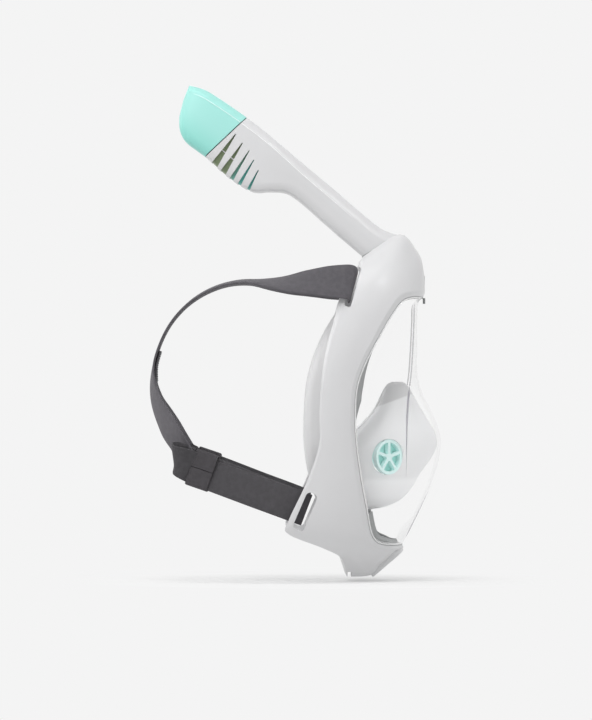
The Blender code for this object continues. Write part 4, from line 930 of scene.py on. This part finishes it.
def ribbon(name, route, look, body, mirrored=False, steps=6, thickness=STRAP_THICKNESS):
    """A flat strap with round edges along the route. Its UV map is in centimetres."""
    points = smooth_line([Vector(p[0]) for p in route], steps)
    faces = smooth_line([Vector(p[1]) for p in route], steps)
    widths = smooth_line([Vector((STRAP_WIDTH * p[2], 0, 0)) for p in route], steps)
    half = thickness / 2
    section = [(-1, 0.0), (-0.985, 0.62), (-0.93, 0.96), (-0.5, 1.0), (0, 1.0), (0.5, 1.0),
               (0.93, 0.96), (0.985, 0.62), (1, 0.0)]
    section += [(x, -y) for x, y in reversed(section[1:-1])]
    rows, lengths = [], [0.0]
    for i, p in enumerate(points):
        along = (points[min(i + 1, len(points) - 1)] - points[max(i - 1, 0)]).normalized()
        facing = (faces[i] - along * faces[i].dot(along)).normalized()
        across = along.cross(facing).normalized() * (widths[i].x / 2)
        rows.append([p + across * x + facing * (half * y) for x, y in section])
        if i:
            lengths.append(lengths[-1] + (p - points[i - 1]).length)
    if mirrored:
        rows = [[mirror_point(p) for p in row] for row in rows]
    work = bmesh.new()
    uv = work.loops.layers.uv.new("UVMap")
    verts = [[work.verts.new(p) for p in row] for row in rows]
    count = len(section)
    for i in range(len(rows) - 1):
        for j in range(count):
            k = (j + 1) % count
            face = work.faces.new((verts[i][j], verts[i][k], verts[i + 1][k], verts[i + 1][j]))
            spots = ((i, j), (i, k), (i + 1, k), (i + 1, j))
            for loop, (row, column) in zip(face.loops, spots):
                loop[uv].uv = (section[column][0] * widths[row].x / 20, lengths[row] / 10)
    for row in (verts[0], verts[-1]):
        work.faces.new(row)
    return new_piece(name, work, look, body, sharp=50)


KEEPER_WALL = 1.1
PATCH_ROUTE = [((0, 124.4, 46.0), (0, 0.95, 0.3), 1.76), ((0, 127.6, 34.0), (0, 0.99, 0.12), 1.76),
               ((0, 127.6, 21.5), (0, 0.99, -0.05), 1.76)]


def keeper_route():
    """Round the doubled strap, from the middle of the outer side and back to it."""
    start, ahead = Vector((-67.0, 92.0, -45.4)), Vector((-72.0, 70.0, -52.9))
    along = (ahead - start).normalized()
    place = basis(start.lerp(ahead, 0.06), Vector((-0.97, -0.22, 0)), along)
    # Half the keeper's thickness and width, and its corners.
    thick, wide, corner = 3.35, 14.0, 1.5
    spots = [(thick, -0.25, 1, 0), (thick, -6, 1, 0), (thick, corner - wide, 1, -0.1),
             (thick - 0.45, 0.45 - wide, 1, -1), (thick - corner, -wide, 0.1, -1),
             (corner - thick, -wide, -0.1, -1), (0.45 - thick, 0.45 - wide, -1, -1),
             (-thick, corner - wide, -1, -0.1), (-thick, 0, -1, 0)]
    spots += [(x, -y, nx, -ny) for x, y, nx, ny in reversed(spots[:-1])]
    turn = place.to_3x3()
    return [(tuple(place @ Vector((x, y, 0))), tuple(turn @ Vector((nx, ny, 0))), 18 / STRAP_WIDTH)
            for x, y, nx, ny in spots]


def make_stitches():
    """Sewing round the back patch's edge: short threads standing a little proud of it."""
    centres = smooth_line([Vector(p[0]) for p in PATCH_ROUTE], 8)
    for word, face in (("inner", -1), ("outer", 1)):
        work = bmesh.new()
        for edge in (-19.5, 19.5):
            for a, b in zip(centres[1:-1], centres[2:-1]):
                lift = Y * (face * 0.75)
                stitch = cord_mesh([a.lerp(b, 0.15) + X * edge + lift, a.lerp(b, 0.5) + X * edge
                                    + lift * 1.25, a.lerp(b, 0.85) + X * edge + lift], 0.25, 6)
                mesh = bpy.data.meshes.new("stitch")
                stitch.to_mesh(mesh)
                work.from_mesh(mesh)
        made = new_piece("patch_stitches_" + word, work, THREAD, "mask", sharp=None)


def make_straps():
    """The straps over the head, the doubled lower straps, their keepers and the back patch."""
    for mirrored, word in ((False, "right"), (True, "left")):
        head = ribbon("strap_over_head_" + word, HEAD_ROUTE, STRAP, "mask", mirrored)
        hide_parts("head_strap_" + word)
        inner = ribbon("strap_inner_layer_" + word, INNER_ROUTE, STRAP_SHADED, "mask", mirrored)
        outer = ribbon("strap_outer_layer_" + word, OUTER_ROUTE, STRAP_SHADED, "mask", mirrored)
        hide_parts("lower_strap_" + word)
        keeper = ribbon("keeper_band_" + word, keeper_route(), KEEPER, "keeper_" + word, mirrored,
                        steps=3, thickness=KEEPER_WALL)
        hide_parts("strap_keeper_" + word)
    patch = ribbon("back_patch", PATCH_ROUTE, STRAP, "mask", thickness=1.4)
    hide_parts("strap_back_patch")
    make_stitches()


CARRIED = {
    "skirt_clamp_ring": GREY, "visor_seal": GASKET_AND_SHADE, "visor_clip": RUBBER,
    "inlet_valve_seat_right": MINT_VALVE, "inlet_valve_seat_left": MINT_VALVE,
    "inlet_valve_flap_right": MINT_FLAP, "inlet_valve_flap_left": MINT_FLAP,
    "chin_valve_seat": GREY, "chin_valve_flap": RUBBER,
    "button_guide": GREY, "button_spring": STEEL, "release_button": GREY,
    "snorkel_plug": GREY_DARK, "snorkel_divider": GREY_DARK, "socket_gasket": RUBBER,
    "float_valve_seat": GREY_DARK, "float_pin": STEEL, "float_lever": GREY_DARK,
    "float_seal": RUBBER, "float_block": FOAM,
}


def dress_carried():
    for node, look in CARRIED.items():
        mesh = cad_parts[node].data
        mesh.materials.clear()
        mesh.materials.append(look)


# ---------------- stage, light, camera

FLOOR_Z = -133.0
BACKGROUND = 0.905
FLOOR_RADIUS, BOWL_RADIUS = 2.5, 7.0


def make_stage():
    """A pale floor that fades into an evenly lit backdrop, so that only soft shadows show on it."""
    look = Look("backdrop", Roughness=1.0, Base_Color=(0.80, 0.80, 0.80, 1))
    look.shader.inputs["Specular IOR Level"].default_value = 0.0
    grey = (BACKGROUND, BACKGROUND, BACKGROUND, 1)
    glow = look.node("Emission", {"Color": grey, "Strength": 1.0})
    away = look.node("VectorMath", {0: look.place}, operation="LENGTH").outputs["Value"]
    share = look.step(away, 0.14, 0.24, 0.35, 1.0)
    mix = look.node("MixShader", {0: share, 1: look.shader.outputs[0], 2: glow.outputs[0]})
    output = look.tree.nodes["Material Output"]
    look.tree.links.new(mix.outputs[0], output.inputs["Surface"])
    def wall(name, profile, turns):
        """A profile of distance and height, in metres, turned round the middle."""
        rows = [[Vector((x, y, height)) / MM for x, y in circle(far, turns)]
                for far, height in profile]
        made = new_piece(name, grid_mesh(rows, wrap_columns=True), look.material, None)
        return made

    floor = FLOOR_Z * MM
    wall("floor", [(far, floor) for far in (0.001, 0.3, 1.0, FLOOR_RADIUS)], 48)
    cove = [(BOWL_RADIUS + 2 * math.sin(math.pi / 2 * k / 8),
             floor + 2 * (1 - math.cos(math.pi / 2 * k / 8))) for k in range(9)]
    bowl = wall("backdrop", [(FLOOR_RADIUS - 0.3, floor - 0.0005), *cove, (BOWL_RADIUS + 2, 5)], 64)
    # The bowl stands behind every camera, and only shows: the lights light the object.
    for kind in ("diffuse", "glossy", "transmission", "shadow"):
        setattr(bowl, "visible_" + kind, False)
    screen = new_piece("light_screen", grid_mesh([[Vector((1400, y, z)) for y in (-2500, 2500)]
                                                  for z in (-133, 2500)]), look.material, None)
    screen.visible_camera = False


def area_light(name, place, aim, size, power):
    """A square light in metres and watts, aimed at a point and not seen itself."""
    data = bpy.data.lights.new(name, "AREA")
    data.shape = "SQUARE"
    data.size = size
    data.energy = power
    made = bpy.data.objects.new(name, data)
    bpy.context.scene.collection.objects.link(made)
    made.location = place
    made.rotation_euler = (Vector(aim) - Vector(place)).to_track_quat("-Z", "Y").to_euler()
    made.visible_camera = False


def make_light():
    """An even pale sky with soft lights above, behind and in front of the object."""
    world = bpy.data.worlds.new("studio")
    world.use_nodes = True
    sky = world.node_tree.nodes["Background"]
    sky.inputs["Color"].default_value = (1, 1, 1, 1)
    sky.inputs["Strength"].default_value = 0.60
    bpy.context.scene.world = world
    area_light("key", (-1.5, 1.0, 1.2), (0, 0, 0.05), 1.0, 14.5)
    area_light("top", (-0.5, 0.1, 1.8), (0, 0, 0.05), 0.9, 9)
    area_light("crease", (-0.66, -0.85, 1.15), (0, 0.02, 0.12), 0.2, 3.0)
    area_light("rear", (0.3, 1.3, 0.6), (0, 0, 0.1), 0.8, 5)


CAMERA_FROM = Vector((-5.0, 0.0187, 0.039))
SENSOR = 36
VIEW_HEIGHT = 0.5616


def make_camera():
    """Level and square to the side, so far off that the view is nearly without perspective."""
    data = bpy.data.cameras.new("camera")
    data.sensor_fit = "VERTICAL"
    data.sensor_height = SENSOR
    data.lens = SENSOR * -CAMERA_FROM.x / VIEW_HEIGHT
    data.clip_start, data.clip_end = 0.1, 30
    made = bpy.data.objects.new("camera", data)
    bpy.context.scene.collection.objects.link(made)
    made.location = CAMERA_FROM
    made.rotation_euler = (math.pi / 2, 0, -math.pi / 2)
    bpy.context.scene.camera = made


make_frame()
make_chin_cover()
make_lens()
make_skirt()
make_pocket()
make_snorkel()
make_straps()
dress_carried()
make_stage()
make_light()
make_camera()
bpy.context.scene.view_settings.view_transform = "Standard"
